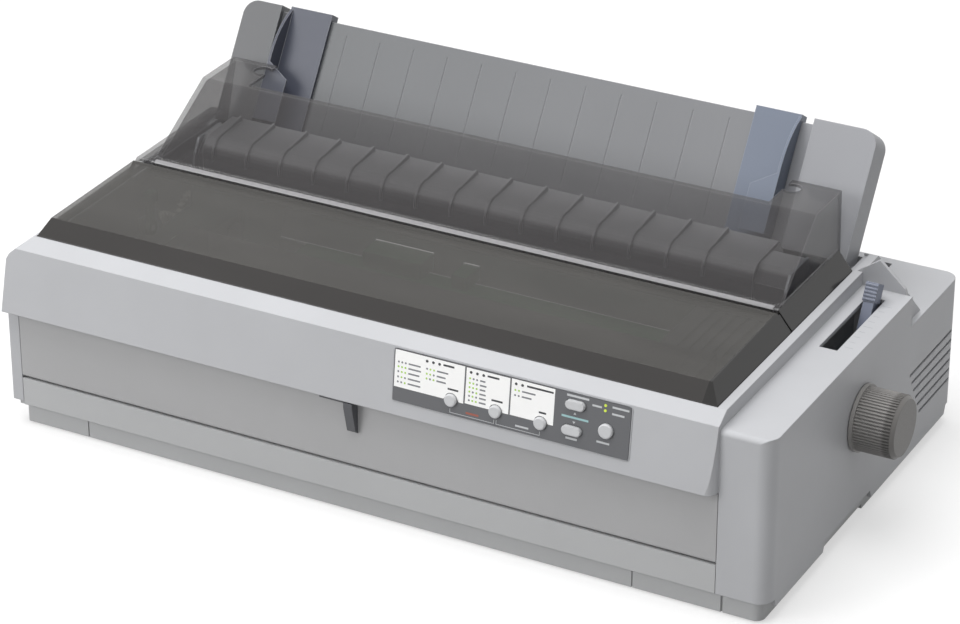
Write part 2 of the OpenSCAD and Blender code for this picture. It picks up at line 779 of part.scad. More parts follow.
module hood_outline(d) {
    z = hinge_top - 4;
    polygon([[hood_front_y + d * 1.6, z - (d > 0 ? 20 : 12)], [hood_front_y + d * 1.6, z],
             [hood_front_y + 2 + d * 1.2, hinge_top - 1 - d * 0.4], [hood_top_y + d * 0.3, hood_z - d],
             [hood_back_y + (d > 0 ? 9 : 0), hood_z - d], [hood_foot_y + (d > 0 ? 9 : 0), z - (d > 0 ? 20 : 12)]]);
}

// the hood drawn in by d; its right side wall flares towards the foot
module hood_body(d) {
    intersection() {
        along_x(hood_x0 + d, hood_x1 - d) hood_outline(d);
        along_y(hood_front_y - 1, hood_back_y + 12) polygon([[hood_x0, lid_z0 - 20], [hood_x0, hood_z],
            [hood_top_x1 - d, hood_z], [hood_x1 - d, hinge_top - 4], [hood_x1 - d, lid_z0 - 20]]);
    }
}

// skirt beside the hood: it carries on the sloping side of the lid, from the outer edge x to the wall xh
module hood_skirt(x, side, xh) {
    way = side > 0 ? 1 : -1;
    along_y(hinge_y - 3.4, hood_foot_y) polygon([[x, lid_z0], [x, rim_z], [x + side, hinge_top],
        [xh, hinge_top], [xh, hinge_top - cover_t], [x + side + way, hinge_top - cover_t],
        [x + way * cover_t, rim_z - 1], [x + way * cover_t, lid_z0]]);
}

module hood() seat() color("#77767a") {
    difference() {
        union() {
            difference() {
                hood_body(0);
                hood_body(cover_t);
                // paper slot between the two top tabs
                block([hood_x0 + hood_tab_w, hood_top_x1 - hood_tab_w], [hood_top_y + 4, hood_back_y + 1],
                      [hood_z - 6, hood_z + 1]);
                // finger notches at the inner corners of the tabs
                rod_z(hood_top_x1 - hood_tab_w + 5, hood_back_y - 12, [hood_z - 4, hood_z + 1], 7);
                rod_z(hood_x0 + hood_tab_w - 5, hood_back_y - 12, [hood_z - 4, hood_z + 1], 7);
            }
            // skirts that rest on the ledge of the case beside the hood
            hood_skirt(lid_x0, lid_side_l, hood_x0 + cover_t / 2);
            hood_skirt(lid_x1, -lid_side, hood_x1 - cover_t / 2);
            // ears around the lid bar
            for (x = [hood_x0, hood_x1 - ear_w]) {
                rod_x([x, x + ear_w], hinge_y, hinge_z, hinge_r + 0.6);
                block([x, x + ear_w], [hinge_y, hood_front_y + 3], [hinge_z - 3, hinge_z + 2]);
            }
        }
        for (x = [hood_x0 - 1, hood_x1 - ear_w - 1])
            rod_x([x, x + ear_w + 2], hinge_y, hinge_z, hinge_pin_r);
    }
}

module lid_hinge_pins() seat() color("#b5b7ba") {
    rod_x([hood_x0, hood_x0 + ear_w + slip + hinge_pin_l - 1], hinge_y, hinge_z, hinge_pin_r);
    rod_x([hood_x1 - ear_w - slip - hinge_pin_l + 1, hood_x1], hinge_y, hinge_z, hinge_pin_r);
}

// ---- paper guide ----

module guide_tower(x0, x1, outer) {
    r = guide_corner_r;
    xr = outer < 0 ? x0 + r : x1 - r;
    intersection() {
        translate([x0, 0, 0]) rotate([90, 0, 90]) linear_extrude(x1 - x0)
            polygon([[0, 0], [0, guide_len], [guide_t, guide_len], [guide_t, -1], [pivot_v + 6, -11],
                     [pivot_v - 5, -11], [6, 0]]);
        union() {
            block([x0, x1], [-1, guide_t + 1], [-20, guide_len - r]);
            block([outer < 0 ? xr : x0, outer < 0 ? x1 : xr], [-1, guide_t + 1], [-20, guide_len]);
            rod_y(xr, [-1, guide_t + 1], guide_len - r, r);
        }
    }
}

module paper_guide() seat() color("#a8a8ac") {
    difference() {
        on_guide() {
            guide_tower(guide_x0, panel_x0, -1);
            guide_tower(panel_x1, guide_x1, 1);
            difference() {
                block([panel_x0 - eps, panel_x1 + eps], [sheet_v, sheet_v + sheet_t], [4, lip_w1]);
                // shallow grooves down the face
                for (i = [1 : rib_count])
                    block([panel_x0 + rib_pitch * i - 0.4, panel_x0 + rib_pitch * i + 0.4],
                          [sheet_v - 1, sheet_v + 0.25], [8, lip_w0 - 4]);
            }
            block([panel_x0 - eps, panel_x1 + eps], [sheet_v, lip_v1], [lip_w0, lip_w1]);
        }
        // the case ears stand outside the towers
        for (x = [[guide_x0 - 1, guide_x0 + 12], [guide_x1 - 12, guide_x1 + 1]])
            rod_x(x, pivot_y, pivot_z, pivot_r - 1);
    }
    // trunnions moulded on the towers
    rod_x([well_x0 - 2, guide_x0 + eps], pivot_y, pivot_z, pivot_r);
    rod_x([guide_x1 - eps, well_x1 + 2], pivot_y, pivot_z, pivot_r);
}

// one edge guide: a plate that hooks over the lip of the sheet, with a leaf-shaped fence along its
// outer edge and a slanted flap in front that holds the edge of the paper
module edge_guide(x0, outer) {
    g = slip;
    v0 = sheet_v - g - edge_t;
    fence = 2;
    x1 = x0 + edge_w;
    xf = outer < 0 ? x0 : x1 - fence;
    top = guide_len + 1;
    leaf_r = (leaf_rise * leaf_rise + leaf_out * leaf_out) / (2 * leaf_out);
    leaf_w = top - 2 - leaf_rise;
    fold_v = v0 - leaf_out;
    flap = outer < 0 ? [x0, x0 + flap_in] : [x1, x1 - flap_in];
    on_guide() {
        block([x0, x0 + edge_w], [v0, v0 + edge_t], [3, top]);
        block([x0, x0 + edge_w], [v0, lip_v1 + g + edge_t], [lip_w1 + g, top]);
        block([x0, x0 + edge_w], [lip_v1 + g, lip_v1 + g + edge_t], [lip_w0 - 6, top]);
        translate([xf, 0, 0]) rotate([90, 0, 90]) linear_extrude(fence)
            polygon(concat([[v0 + eps, 6], [v0 + eps, top - 2]],
                           arc([fold_v + leaf_r, leaf_w], leaf_r, 180 - asin(leaf_rise / leaf_r), 180, 6),
                           [[fold_v, 6]]));
        along_y(fold_v, fold_v + 1.6) polygon([[flap[0], 6], [flap[0], leaf_w - 4],
            [flap[1], leaf_w - 4 - flap_drop], [flap[1], 6]]);
    }
}

module edge_guide_left() seat() color("#6e7382") edge_guide(edge_left_x, -1);

module edge_guide_right() seat() color("#828a9b") edge_guide(edge_right_x, 1);

module paper_chute() seat() color("#9c9ca0") {
    c = [chute_y, chute_z];
    nose = 13;
    x0 = frame_l_x + frame_t;
    x1 = frame_r_x;
    along_x(x0 + 5, x1 - 25) polygon(concat(
        [[c[0] + 31, c[1] + nose + 1]], arc(c, nose, 90, 195, 8),
        [[c[0] - nose - 0.5, c[1] - 27.5], [c[0] - nose + 2.5, c[1] - 27.5]],
        arc(c, nose - wall, 195, 90, 8), [[c[0] + 31, c[1] + nose + 1 - wall]]));
    // end plates against the frames
    for (x = [[x0, x0 + 5 + eps], [x1 - 25 - eps, x1]])
        along_x(x[0], x[1]) polygon([[c[0] - 11, c[1] - 21.5], [c[0] - 11, c[1]], [c[0], c[1] + nose - 2],
            [c[0] + 21, c[1] + nose - 2], [c[0] + 21, c[1] - 11.5]]);
    for (i = [0 : rib_count])
        translate([panel_x0 + rib_pitch * i - 0.8, 0, 0]) along_x(0, 1.6)
            polygon(concat([[c[0] + 27, c[1] + nose + 5]], arc(c, nose + 2.2, 80, 190, 8),
                           arc(c, nose - 1, 190, 90, 8), [[c[0] + 29, c[1] + nose]]));
}

// ---- control panel ----

module control_panel() seat() color("#656668") {
    difference() {
        on_fascia(panel_x, panel_s) translate([slip / 2, slip / 2, -panel_sink])
            cube([panel_w - slip, panel_h - slip, panel_t]);
        button_holes(-3, 8);
    }
}

module status_leds() seat() color("#7fd36b") {
    for (b = led_list)
        on_fascia(b[0], b[1]) {
            translate([0, 0, -board_depth]) cylinder(h = board_depth + panel_t - panel_sink + 0.2, r = led_r - 0.1);
        }
}

module panel_board() seat() color("#2f6b45") {
    on_fascia(panel_x, panel_s + 1) translate([0, 0, -board_depth - board_t])
        cube([panel_w, panel_h - 4, board_t]);
    // one dome switch under each button
    for (b = switch_points())
        on_fascia(b[0], b[1]) translate([0, 0, -board_depth - eps]) cylinder(h = 1.6, r = 3);
}

function switch_points() = [[font_x, row_s], [pitch_x, row_s], [tear_x, row_s],
                            [pause_x, pause_s], [load_x, load_s], [feed_x, feed_s]];

// stem and retaining flange shared by the buttons, standing just above its dome switch
module button_stem(r) {
    foot = board_depth - 1.6 - button_travel - 0.1;
    translate([0, 0, -foot]) cylinder(h = foot, r = 1.8);
    translate([0, 0, -wall - slip - flange_t]) cylinder(h = flange_t, r = r + 1.2);
}

module round_button(x, s, r) {
    top = panel_t - panel_sink + head_h;
    on_fascia(x, s) {
        translate([0, 0, -wall - slip - eps]) cylinder(h = wall + slip + top - head_bevel + eps, r = r);
        translate([0, 0, top - head_bevel]) cylinder(h = head_bevel, r1 = r, r2 = r - head_bevel);
        button_stem(r);
    }
}

module oval_button(x, s) {
    top = panel_t - panel_sink + head_h;
    on_fascia(x, s) {
        translate([0, 0, -wall - slip - eps]) oval(oval_l, oval_h, wall + slip + top - 0.6);
        translate([0, 0, top - 0.6 - 2 * eps]) oval(oval_l - 1, oval_h - 1, 0.6);
        button_stem(oval_h / 2);
    }
}

module font_button() seat() color("#b9babd") round_button(font_x, row_s, button_r);

module pitch_button() seat() color("#b9babd") round_button(pitch_x, row_s, button_r);

module tear_off_button() seat() color("#b9babd") round_button(tear_x, row_s, button_r);

module pause_button() seat() color("#b9babd") round_button(pause_x, pause_s, pause_r);

module load_eject_button() seat() color("#b9babd") oval_button(load_x, load_s);

module line_feed_button() seat() color("#b9babd") oval_button(feed_x, feed_s);

// ---- levers ----

module release_lever() seat() color("#6e7382") {
    difference() {
        translate([0, lever_y, lever_z]) rotate([-lever_lean, 0, 0]) {
            rod_x([lever_x, lever_x + lever_w], 0, 0, 8);
            block([lever_x, lever_x + lever_w], [-5, 5], [0, lever_len - 4]);
            block([lever_x - 0.8, lever_x + lever_w + 0.8], [-5.5, 5.5], [lever_len - 14, lever_len]);
            for (i = [0 : 4])
                block([lever_x - 0.8, lever_x + lever_w + 0.8], [-6.1, -5.4],
                      [lever_len - 13 + 2.6 * i, lever_len - 11.8 + 2.6 * i]);
        }
        rod_x([lever_x - 1, lever_x + lever_w + 1], lever_y, lever_z, lever_pin_r + run_gap);
    }
}

module thickness_lever() seat() color("#4f7a5c") {
    x0 = frame_l_x + frame_t + slip;
    difference() {
        union() {
            rod_x([x0, x0 + 4], thick_y, thick_z, 6);
            block([x0, x0 + 4], [thick_y - 3, thick_y + 3], [thick_z, thick_z + thick_len]);
            block([x0, x0 + 7], [thick_y - 4, thick_y + 4], [thick_z + thick_len - 8, thick_z + thick_len]);
        }
        rod_x([x0 - 1, x0 + 8], thick_y, thick_z, motor_pin_r + run_gap);
    }
}

// ---- frames ----

module frame_outline() {
    polygon([[rail_y - 64, pedestal_z], [rail_y - 64, rail_z + 60], [thick_y - 10, rail_z + 60],
             [thick_y - 10, thick_z + 10], [thick_y + 12, thick_z + 10], [platen_y - 13, platen_z + 23],
             [platen_y + 27, platen_z + 23], [chute_y - 15, chute_z], [chute_y - 8, chute_z + 11],
             [chute_y + 23, chute_z + 11], [chute_y + 28, chute_z - 19], [tractor_y0 - 8, chute_z - 21],
             [tractor_y1 + 4, tractor_z + 8], [tractor_y1 + 4, tractor_z - 58],
             [tractor_y1 - 14, pedestal_z]]);
}

// plate shared by both frames, with windows and shaft holes
module frame_plate(x0) {
    x = [x0, x0 + frame_t];
    h = [x0 - 1, x0 + frame_t + 1];
    difference() {
        along_x(x[0], x[1]) frame_outline();
        rod_x(h, platen_y, platen_z, bearing_r);
        rod_x(h, rail_y, rail_z, rail_r);
        rod_x(h, tractor_y, tractor_z, shaft_r + run_gap);
        rod_x(h, rod_y, rod_z, rod_r);
        block(h, [chute_y - 11, chute_y + 49], [pedestal_z + 28, pedestal_z + 66]);
        block(h, [rail_y - 52, rail_y - 14], [pedestal_z + 8, pedestal_z + 32]);
    }
}

module frame_left() seat() color("#8d9095") {
    x = frame_l_x;
    difference() {
        frame_plate(x);
        rod_x([x - 1, x + frame_t + 1], pinion_y, pinion_z, motor_pin_r + 1.5);
    }
    block([x, x + 14], frame_foot_y, [pedestal_z, pedestal_z + frame_t]);
    // studs of the gear train, each with a retaining head
    for (i = [0 : 2])
        stud(x, platen_y + idler_d[i] * cos(feed_angle), platen_z + idler_d[i] * sin(feed_angle), train_x);
    stud(x, reduction_y, reduction_z, train_x);
    // stud of the thickness lever
    rod_x([x + frame_t - eps, x + frame_t + slip + 4.2], thick_y, thick_z, motor_pin_r);
}

module stud(x, y, z, gear_x0) {
    rod_x([gear_x0 - slip - 1.2, x + eps], y, z, stud_r);
    rod_x([gear_x0 - slip - 1.2, gear_x0 - slip], y, z, stud_r + 1.5);
}

module frame_right() seat() color("#8d9095") {
    x = frame_r_x;
    frame_plate(x);
    block([x - 12, x + frame_t], frame_foot_y, [pedestal_z, pedestal_z + frame_t]);
    // bracket and pin of the release lever
    block([x + frame_t - eps, lever_x - 3.5], [lever_y - 8, lever_y + 8], [lever_z - 14, lever_z - 11.6]);
    block([lever_x - 5.5, lever_x - 3.5], [lever_y - 8, lever_y + 8], [lever_z - 14, lever_z + 8]);
    rod_x([lever_x - 3.6, lever_x + lever_w + 1.5], lever_y, lever_z, lever_pin_r);
}

// ---- platen ----

module platen_shaft() seat() color("#b9bbbf") {
    rod_x([train_x - 2, bore_end], platen_y, platen_z, shaft_r);
}

module platen_roller() seat() color("#2c2c2e") {
    difference() {
        rod_x([roller_x, roller_x + roller_l], platen_y, platen_z, roller_r);
        rod_x([roller_x - 1, roller_x + roller_l + 1], platen_y, platen_z, shaft_r);
    }
}

module platen_bearings() seat() color("#d8d4c8") {
    for (x = [frame_l_x, frame_r_x])
        difference() {
            union() {
                rod_x([x, x + frame_t], platen_y, platen_z, bearing_r);
                rod_x([x == frame_l_x ? x + frame_t : x - 2, x == frame_l_x ? x + frame_t + 2 : x],
                      platen_y, platen_z, bearing_r + 1.5);
            }
            rod_x([x - 3, x + frame_t + 3], platen_y, platen_z, shaft_r + run_gap);
        }
}

module knob_outline() {
    step = 360 / knob_ribs;
    polygon([for (i = [0 : knob_ribs - 1]) for (k = [[-0.3, -0.9], [-0.2, 0], [0.2, 0], [0.3, -0.9]])
        (knob_r + k[1]) * [cos((i + k[0]) * step), sin((i + k[0]) * step)]]);
}

module platen_knob() seat() color("#6e6b69") {
    x0 = case_w + knob_gap;
    x1 = case_w + knob_out;
    difference() {
        union() {
            rod_x([x0, x0 + flange_h], platen_y, platen_z, knob_r + 1.4);
            translate([x0 + flange_h - eps, platen_y, platen_z]) rotate([90, 0, 90])
                linear_extrude(x1 - x0 - flange_h - 3) knob_outline();
            translate([x1 - 3 - 2 * eps, platen_y, platen_z]) rotate([0, 90, 0])
                cylinder(h = 3 + 2 * eps, r1 = knob_r - 0.5, r2 = knob_r - 2.5);
        }
        rod_x([x0 - 1, bore_end], platen_y, platen_z, shaft_r);
    }
}

module platen_gear() seat() color("#e4e2da") {
    difference() {
        gear_x(train_x, train_x + train_t, platen_y, platen_z, platen_teeth, feed_angle);
        rod_x([train_x - 1, train_x + train_t + 1], platen_y, platen_z, shaft_r);
    }
}

module feed_idler(i) {
    y = platen_y + idler_d[i] * cos(feed_angle);
    z = platen_z + idler_d[i] * sin(feed_angle);
    // a gap faces a tooth at every mesh along the straight train
    odd = i % 2 == 0;
    difference() {
        gear_x(train_x, train_x + train_t, y, z, idler_teeth, feed_angle + (odd ? 180 / idler_teeth : 0));
        rod_x([train_x - 1, train_x + train_t + 1], y, z, stud_r + run_gap);
    }
}

module feed_idler_front() seat() color("#e4e2da") feed_idler(0);

module feed_idler_middle() seat() color("#e4e2da") feed_idler(1);

module feed_idler_rear() seat() color("#e4e2da") feed_idler(2);

module reduction_gear() seat() color("#e4e2da") {
    // the platen gear's nearest tooth lies at a whole pitch from the feed angle
    pitch = 360 / platen_teeth;
    off = reduction_angle - feed_angle;
    lag = off - pitch * round(off / pitch);
    mate = reduction_angle + 180 + 180 / small_teeth + lag * platen_teeth / small_teeth;
    difference() {
        union() {
            gear_x(train_x, second_x + eps, reduction_y, reduction_z, small_teeth, mate);
            gear_x(second_x, second_x + second_t, reduction_y, reduction_z, reduction_teeth, -90);
        }
        rod_x([train_x - 1, second_x + second_t + 1], reduction_y, reduction_z, stud_r + run_gap);
    }
}

module feed_motor_pinion() seat() color("#c9a24a") {
    gear_x(second_x - 0.5, second_x + second_t, pinion_y, pinion_z, small_teeth, 90 + 180 / small_teeth);
    rod_x([second_x, frame_l_x + frame_t + 16], pinion_y, pinion_z, motor_pin_r);
}

module feed_motor() seat() color("#55575b") {
    x0 = frame_l_x + frame_t;
    difference() {
        union() {
            rod_x([x0, x0 + feed_motor_l], pinion_y, pinion_z, feed_motor_r);
            block([x0, x0 + 2], [pinion_y - 22, pinion_y + 22], [pinion_z - 8, pinion_z + 8]);
        }
        rod_x([x0 - 1, x0 + 17], pinion_y, pinion_z, motor_pin_r + run_gap);
    }
}

// ---- carriage ----

module carriage_shaft() seat() color("#c4c6ca") {
    rod_x([frame_l_x, frame_r_x + frame_t], rail_y, rail_z, rail_r);
}

module guide_rail() seat() color("#9a9da2") {
    block([frame_l_x + frame_t, frame_r_x], [rail_bar_y, rail_bar_y + rail_bar_w],
          [rail_bar_z, rail_bar_z + rail_bar_t]);
}

module carriage() seat() color("#3d3e41") {
    x0 = mid_x - carriage_w / 2;
    x1 = mid_x + carriage_w / 2;
    jaw = 3.1;
    in_y = rail_bar_y + rail_bar_w + slip;
    z0 = rail_bar_z - slip;
    z1 = rail_bar_z + rail_bar_t + slip;
    run_y = pulley_y + pulley_r + belt_t / 2;
    difference() {
        union() {
            along_x(x0, x1) polygon([[rail_bar_y - 4, z1 + jaw], [rail_bar_y - 4, z1], [in_y, z1],
                [in_y, z0], [rail_bar_y - 4, z0], [rail_bar_y - 4, z0 - jaw], [80, z0 - jaw],
                [86, rail_z - 12], [rail_y + 14, rail_z - 12], [rail_y + 14, rail_z + 12],
                [rail_y + 20, z1], [rail_y + 20, z1 + jaw]]);
            // clamp around the rear run of the belt
            block([mid_x - 10, mid_x + 10], [run_y - 4, run_y + 4.5], [belt_z0 - 2, rail_z - 12 + eps]);
        }
        block([mid_x - 11, mid_x + 11], [run_y - belt_t / 2 - slip, run_y + belt_t / 2 + slip],
              [belt_z0 - 3, belt_z0 + belt_h + slip]);
        rod_x([x0 - 1, x1 + 1], rail_y, rail_z, rail_r + run_gap);
    }
}

module print_head() seat() color("#2a2b2d") {
    block([mid_x - 17, mid_x + 17], [92, 120], [tray_z, tray_z + 25]);
    // cooling fins
    for (i = [0 : 5])
        block([mid_x - 17 + i * 6.4, mid_x - 15 + i * 6.4], [82, 92 + eps], [tray_z + 2, tray_z + 25]);
    along_x(mid_x - 7, mid_x + 7) polygon([[120 - eps, tray_z + 1], [120 - eps, tray_z + 22],
        [nose_y, platen_z + 7], [nose_y, platen_z - 7]]);
}

module drive_pulley() seat() color("#c9a24a") pulley_at(drive_x, true);

module idler_pulley() seat() color("#d8d4c8") pulley_at(idler_x, false);

// a flanged belt pulley; the driven one ends in the motor's shaft
module pulley_at(x, driven) {
    difference() {
        union() {
            rod_z(x, pulley_y, [belt_z0 - 0.5, belt_z0 + belt_h + 0.5], pulley_r);
            rod_z(x, pulley_y, [belt_z0 - 1.5, belt_z0 - 0.5 + eps], flange_r);
            rod_z(x, pulley_y, [belt_z0 + belt_h + 0.5 - eps, belt_z0 + belt_h + 1.5], flange_r);
            if (driven) rod_z(x, pulley_y, [pedestal_z + 4, belt_z0], motor_pin_r);
        }
        if (!driven) rod_z(x, pulley_y, [belt_z0 - 3, belt_z0 + belt_h + 3], stud_r + run_gap);
    }
}

module drive_belt() seat() color("#1f2022") {
    r = pulley_r + belt_t + slip / 2;
    q = pulley_r + slip / 2;
    difference() {
        union() {
            block([idler_x, drive_x], [pulley_y - r, pulley_y + r], [belt_z0, belt_z0 + belt_h]);
            for (x = [idler_x, drive_x]) rod_z(x, pulley_y, [belt_z0, belt_z0 + belt_h], r);
        }
        block([idler_x, drive_x], [pulley_y - q, pulley_y + q], [belt_z0 - 1, belt_z0 + belt_h + 1]);
        for (x = [idler_x, drive_x]) rod_z(x, pulley_y, [belt_z0 - 1, belt_z0 + belt_h + 1], q);
    }
}

module carriage_motor() seat() color("#55575b") {
    difference() {
        rod_z(drive_x, pulley_y, [pedestal_z, pedestal_z + carriage_motor_h], carriage_motor_r);
        rod_z(drive_x, pulley_y, [pedestal_z + 3.5, pedestal_z + carriage_motor_h + 1], motor_pin_r + run_gap);
    }
}

// ---- ribbon ----

module ribbon_cartridge() seat() color("#252628") {
    difference() {
        union() {
            block([ribbon_x0, ribbon_x1], [ribbon_y0, ribbon_y1], [ribbon_z0, ribbon_z1]);
            block([ribbon_x0 + 8, ribbon_x1 - 8], [ribbon_y0 + 6, ribbon_y1 - 8], [ribbon_z1 - eps, ribbon_z1 + 1.5]);
            // arms that hold the ribbon in front of the platen
            for (x = [ribbon_x0, ribbon_x1 - arm_w])
                block([x, x + arm_w], [ribbon_y1 - eps, arm_y1], [platen_z - 8, ribbon_z1]);
            // ears that sit against the frames
            block([frame_l_x + frame_t, ribbon_x0 + eps], [42, 66], [ribbon_z0, ribbon_z0 + 4]);
            block([ribbon_x1 - eps, frame_r_x], [42, 66], [ribbon_z0, ribbon_z0 + 4]);
        }
        rod_z(spool_x, spool_y, [ribbon_z1 - 8, ribbon_z1 + 3], 2 + run_gap);
        for (x = [ribbon_x0 + 4, ribbon_x1 - arm_w - 1])
            block([x, x + arm_w - 3], [band_y - 0.4, band_y + band_t + 0.4], [platen_z - 9, platen_z + band_h / 2 + 1]);
    }
}

module ribbon_knob() seat() color("#e4e2da") {
    z0 = ribbon_z1 + 1.5 + slip;
    rod_z(spool_x, spool_y, [z0, z0 + 5], spool_r);
    for (a = [0 : 60 : 300])
        translate([spool_x, spool_y, 0]) rotate(a) block([0, spool_r - 1], [-0.8, 0.8], [z0 + 5 - eps, z0 + 6.5]);
    rod_z(spool_x, spool_y, [ribbon_z1 - 7, z0 + eps], 2);
}

module ink_ribbon() seat() color("#151517") {
    block([ribbon_x0 + 6, ribbon_x1 - 6], [band_y, band_y + band_t],
          [platen_z - band_h / 2, platen_z + band_h / 2]);
}

// ---- tractors ----

module tractor_shaft() seat() color("#b9bbbf") {
    rod_x([train_x - 2, frame_r_x + frame_t + 4], tractor_y, tractor_z, shaft_r);
    gear_x(train_x, train_x + train_t, tractor_y, tractor_z, tractor_teeth, feed_angle);
}

module tractor_rod() seat() color("#c4c6ca") {
    rod_x([frame_l_x, frame_r_x + frame_t], rod_y, rod_z, rod_r);
}

// one tractor: body with two bores, a pin belt on top and a hinge lug for its flap
module tractor(x0, outer) {
    x1 = x0 + tractor_w;
    xh = outer < 0 ? x0 - flap_r : x1 + flap_r;
    difference() {
        union() {
            along_x(x0, x1) polygon(concat(arc([tractor_y0 + 8, tractor_z - 6], 8, 180, 270),
                arc([tractor_y1 - 8, tractor_z - 6], 8, 270, 360),
                arc([tractor_y1 - 10, tractor_top - 10], 10, 0, 90),
                arc([tractor_y0 + 10, tractor_top - 10], 10, 90, 180)));
            for (i = [0 : pin_count - 1])
                rod_z((x0 + x1) / 2, tractor_y + (i - (pin_count - 1) / 2) * pin_pitch,
                      [tractor_top - 1, tractor_top + 1.6], 1.8);
            // hinge lugs at both ends of the flap
            for (y = [[tractor_y - flap_len / 2 - 1.9, tractor_y - flap_len / 2 + 2],
                      [tractor_y + flap_len / 2 - 2, tractor_y + flap_len / 2 + 1.9]]) {
                rod_y(xh, y, flap_hinge_z, flap_r);
                block([outer < 0 ? xh - flap_r : x1 - 3, outer < 0 ? x0 + 3 : xh + flap_r], y,
                      [tractor_top - 8, flap_hinge_z]);
            }
        }
        rod_x([x0 - 1, x1 + 1], tractor_y, tractor_z, shaft_r + run_gap);
        rod_x([x0 - 1, x1 + 1], rod_y, rod_z, rod_r + run_gap);
        rod_y(xh, [tractor_y - flap_len / 2 - 3, tractor_y + flap_len / 2 + 3], flap_hinge_z, 1 + run_gap);
    }
}

module tractor_flap(x0, outer) {
    x1 = x0 + tractor_w;
    xh = outer < 0 ? x0 - flap_r : x1 + flap_r;
    y = [tractor_y - flap_len / 2 + 2 + slip, tractor_y + flap_len / 2 - 2 - slip];
    z0 = flap_hinge_z + flap_r - flap_t;
    difference() {
        union() {
            rod_y(xh, y, flap_hinge_z, flap_r);
            block([outer < 0 ? xh : x0 + 4, outer < 0 ? x1 - 4 : xh], y, [z0, z0 + flap_t]);
        }
        block([(x0 + x1) / 2 - 2.6, (x0 + x1) / 2 + 2.6], [tractor_y - 16, tractor_y + 16], [z0 - 1, z0 + 3]);
    }
    // pin that turns in the lugs
    rod_y(xh, [tractor_y - flap_len / 2 - 1.5, tractor_y + flap_len / 2 + 1.5], flap_hinge_z, 1);
}

module tractor_left() seat() color("#4b4d52") tractor(tractor_left_x, -1);

module tractor_right() seat() color("#4b4d52") tractor(tractor_right_x, 1);

module tractor_flap_left() seat() color("#3d3e41") tractor_flap(tractor_left_x, -1);

module tractor_flap_right() seat() color("#3d3e41") tractor_flap(tractor_right_x, 1);

// ---- electronics ----

module main_board() seat() color("#2f6b45") {
    block([board_x0, board_x1], [board_y0, board_y1], [main_z, main_z + board_t]);
    // connectors at the rear edge and the larger chips
    block([parallel_x - parallel_w / 2, parallel_x + parallel_w / 2], [board_y1 - 14, case_d - 1],
          [port_z - eps, port_z + 13]);
    block([usb_x - usb_w / 2, usb_x + usb_w / 2], [board_y1 - 14, case_d - 1], [port_z - eps, port_z + 11]);
    for (p = [[board_x0 + 50, 35, 26, 26], [board_x0 + 110, 30, 34, 14], [board_x1 - 155, 40, 24, 24],
              [board_x1 - 85, 25, 30, 12], [board_x1 - 65, 70, 20, 20]])
        block([p[0], p[0] + p[2]], [board_y0 + p[1], board_y0 + p[1] + p[3]], [port_z - eps, port_z + 3]);
}

module power_supply() seat() color("#a4a6a9") {
    difference() {
        block([psu_x0, psu_x1], [psu_y0, psu_y1], [pedestal_z, psu_z1]);
        for (i = [0 : 8])
            block([psu_x0 + 14 + 9 * i, psu_x0 + 18 + 9 * i], [psu_y0 + 16, psu_y1 - 16], [psu_z1 - 1.5, psu_z1 + 1]);
    }
}

module power_inlet() seat() color("#232325") {
    y1 = case_d - 0.2;
    difference() {
        union() {
            block([inlet_x - inlet_w / 2 + 0.2, inlet_x + inlet_w / 2 - 0.2], [case_d - 24, y1],
                  [inlet_z - inlet_h / 2 + 0.2, inlet_z + inlet_h / 2 - 0.2]);
            block([inlet_x - inlet_w / 2 - 4, inlet_x + inlet_w / 2 + 4], [case_d - wall - 2, case_d - wall],
                  [inlet_z - inlet_h / 2 - 3, inlet_z + inlet_h / 2 + 3]);
        }
        block([inlet_x - 12, inlet_x + 12], [case_d - 18, case_d], [inlet_z - 8, inlet_z + 8]);
    }
    for (p = [[-7, -2], [0, 3], [7, -2]])
        block([inlet_x + p[0] - 1, inlet_x + p[0] + 1], [case_d - 18 - eps, case_d - 4],
              [inlet_z + p[1] - 2, inlet_z + p[1] + 2]);
}

module switch_housing() seat() color("#1e1e20") {
    w = switch_w / 2 - 0.2;
    h = switch_h / 2 - 0.2;
    difference() {
        union() {
            block([0.3, 18], [switch_y - w, switch_y + w], [switch_z - h, switch_z + h]);
            block([wall, wall + 1.5], [switch_y - w - 2, switch_y + w + 2], [switch_z - h - 2, switch_z + h + 2]);
        }
        block([-1, 14], [switch_y - w + 1.4, switch_y + w - 1.4], [switch_z - h + 1.4, switch_z + h - 1.4]);
        rod_y(rocker_x, [switch_y - w - 1, switch_y + w + 1], switch_z, 1.2 + run_gap);
    }
}

module power_switch() seat() color("#2b2b2e") {
    w = switch_w / 2 - 2;
    translate([rocker_x, 0, switch_z]) rotate([0, rocker_tilt, 0]) {
        along_y(switch_y - w, switch_y + w)
            polygon([[-4, 0], [-5.2, 8.4], [-1, 8.4], [2.5, 0], [-1, -8.4], [-5.2, -8.4]]);
        rod_y(0, [switch_y - w - 1.6, switch_y + w + 1.6], 0, 1.2);
    }
}

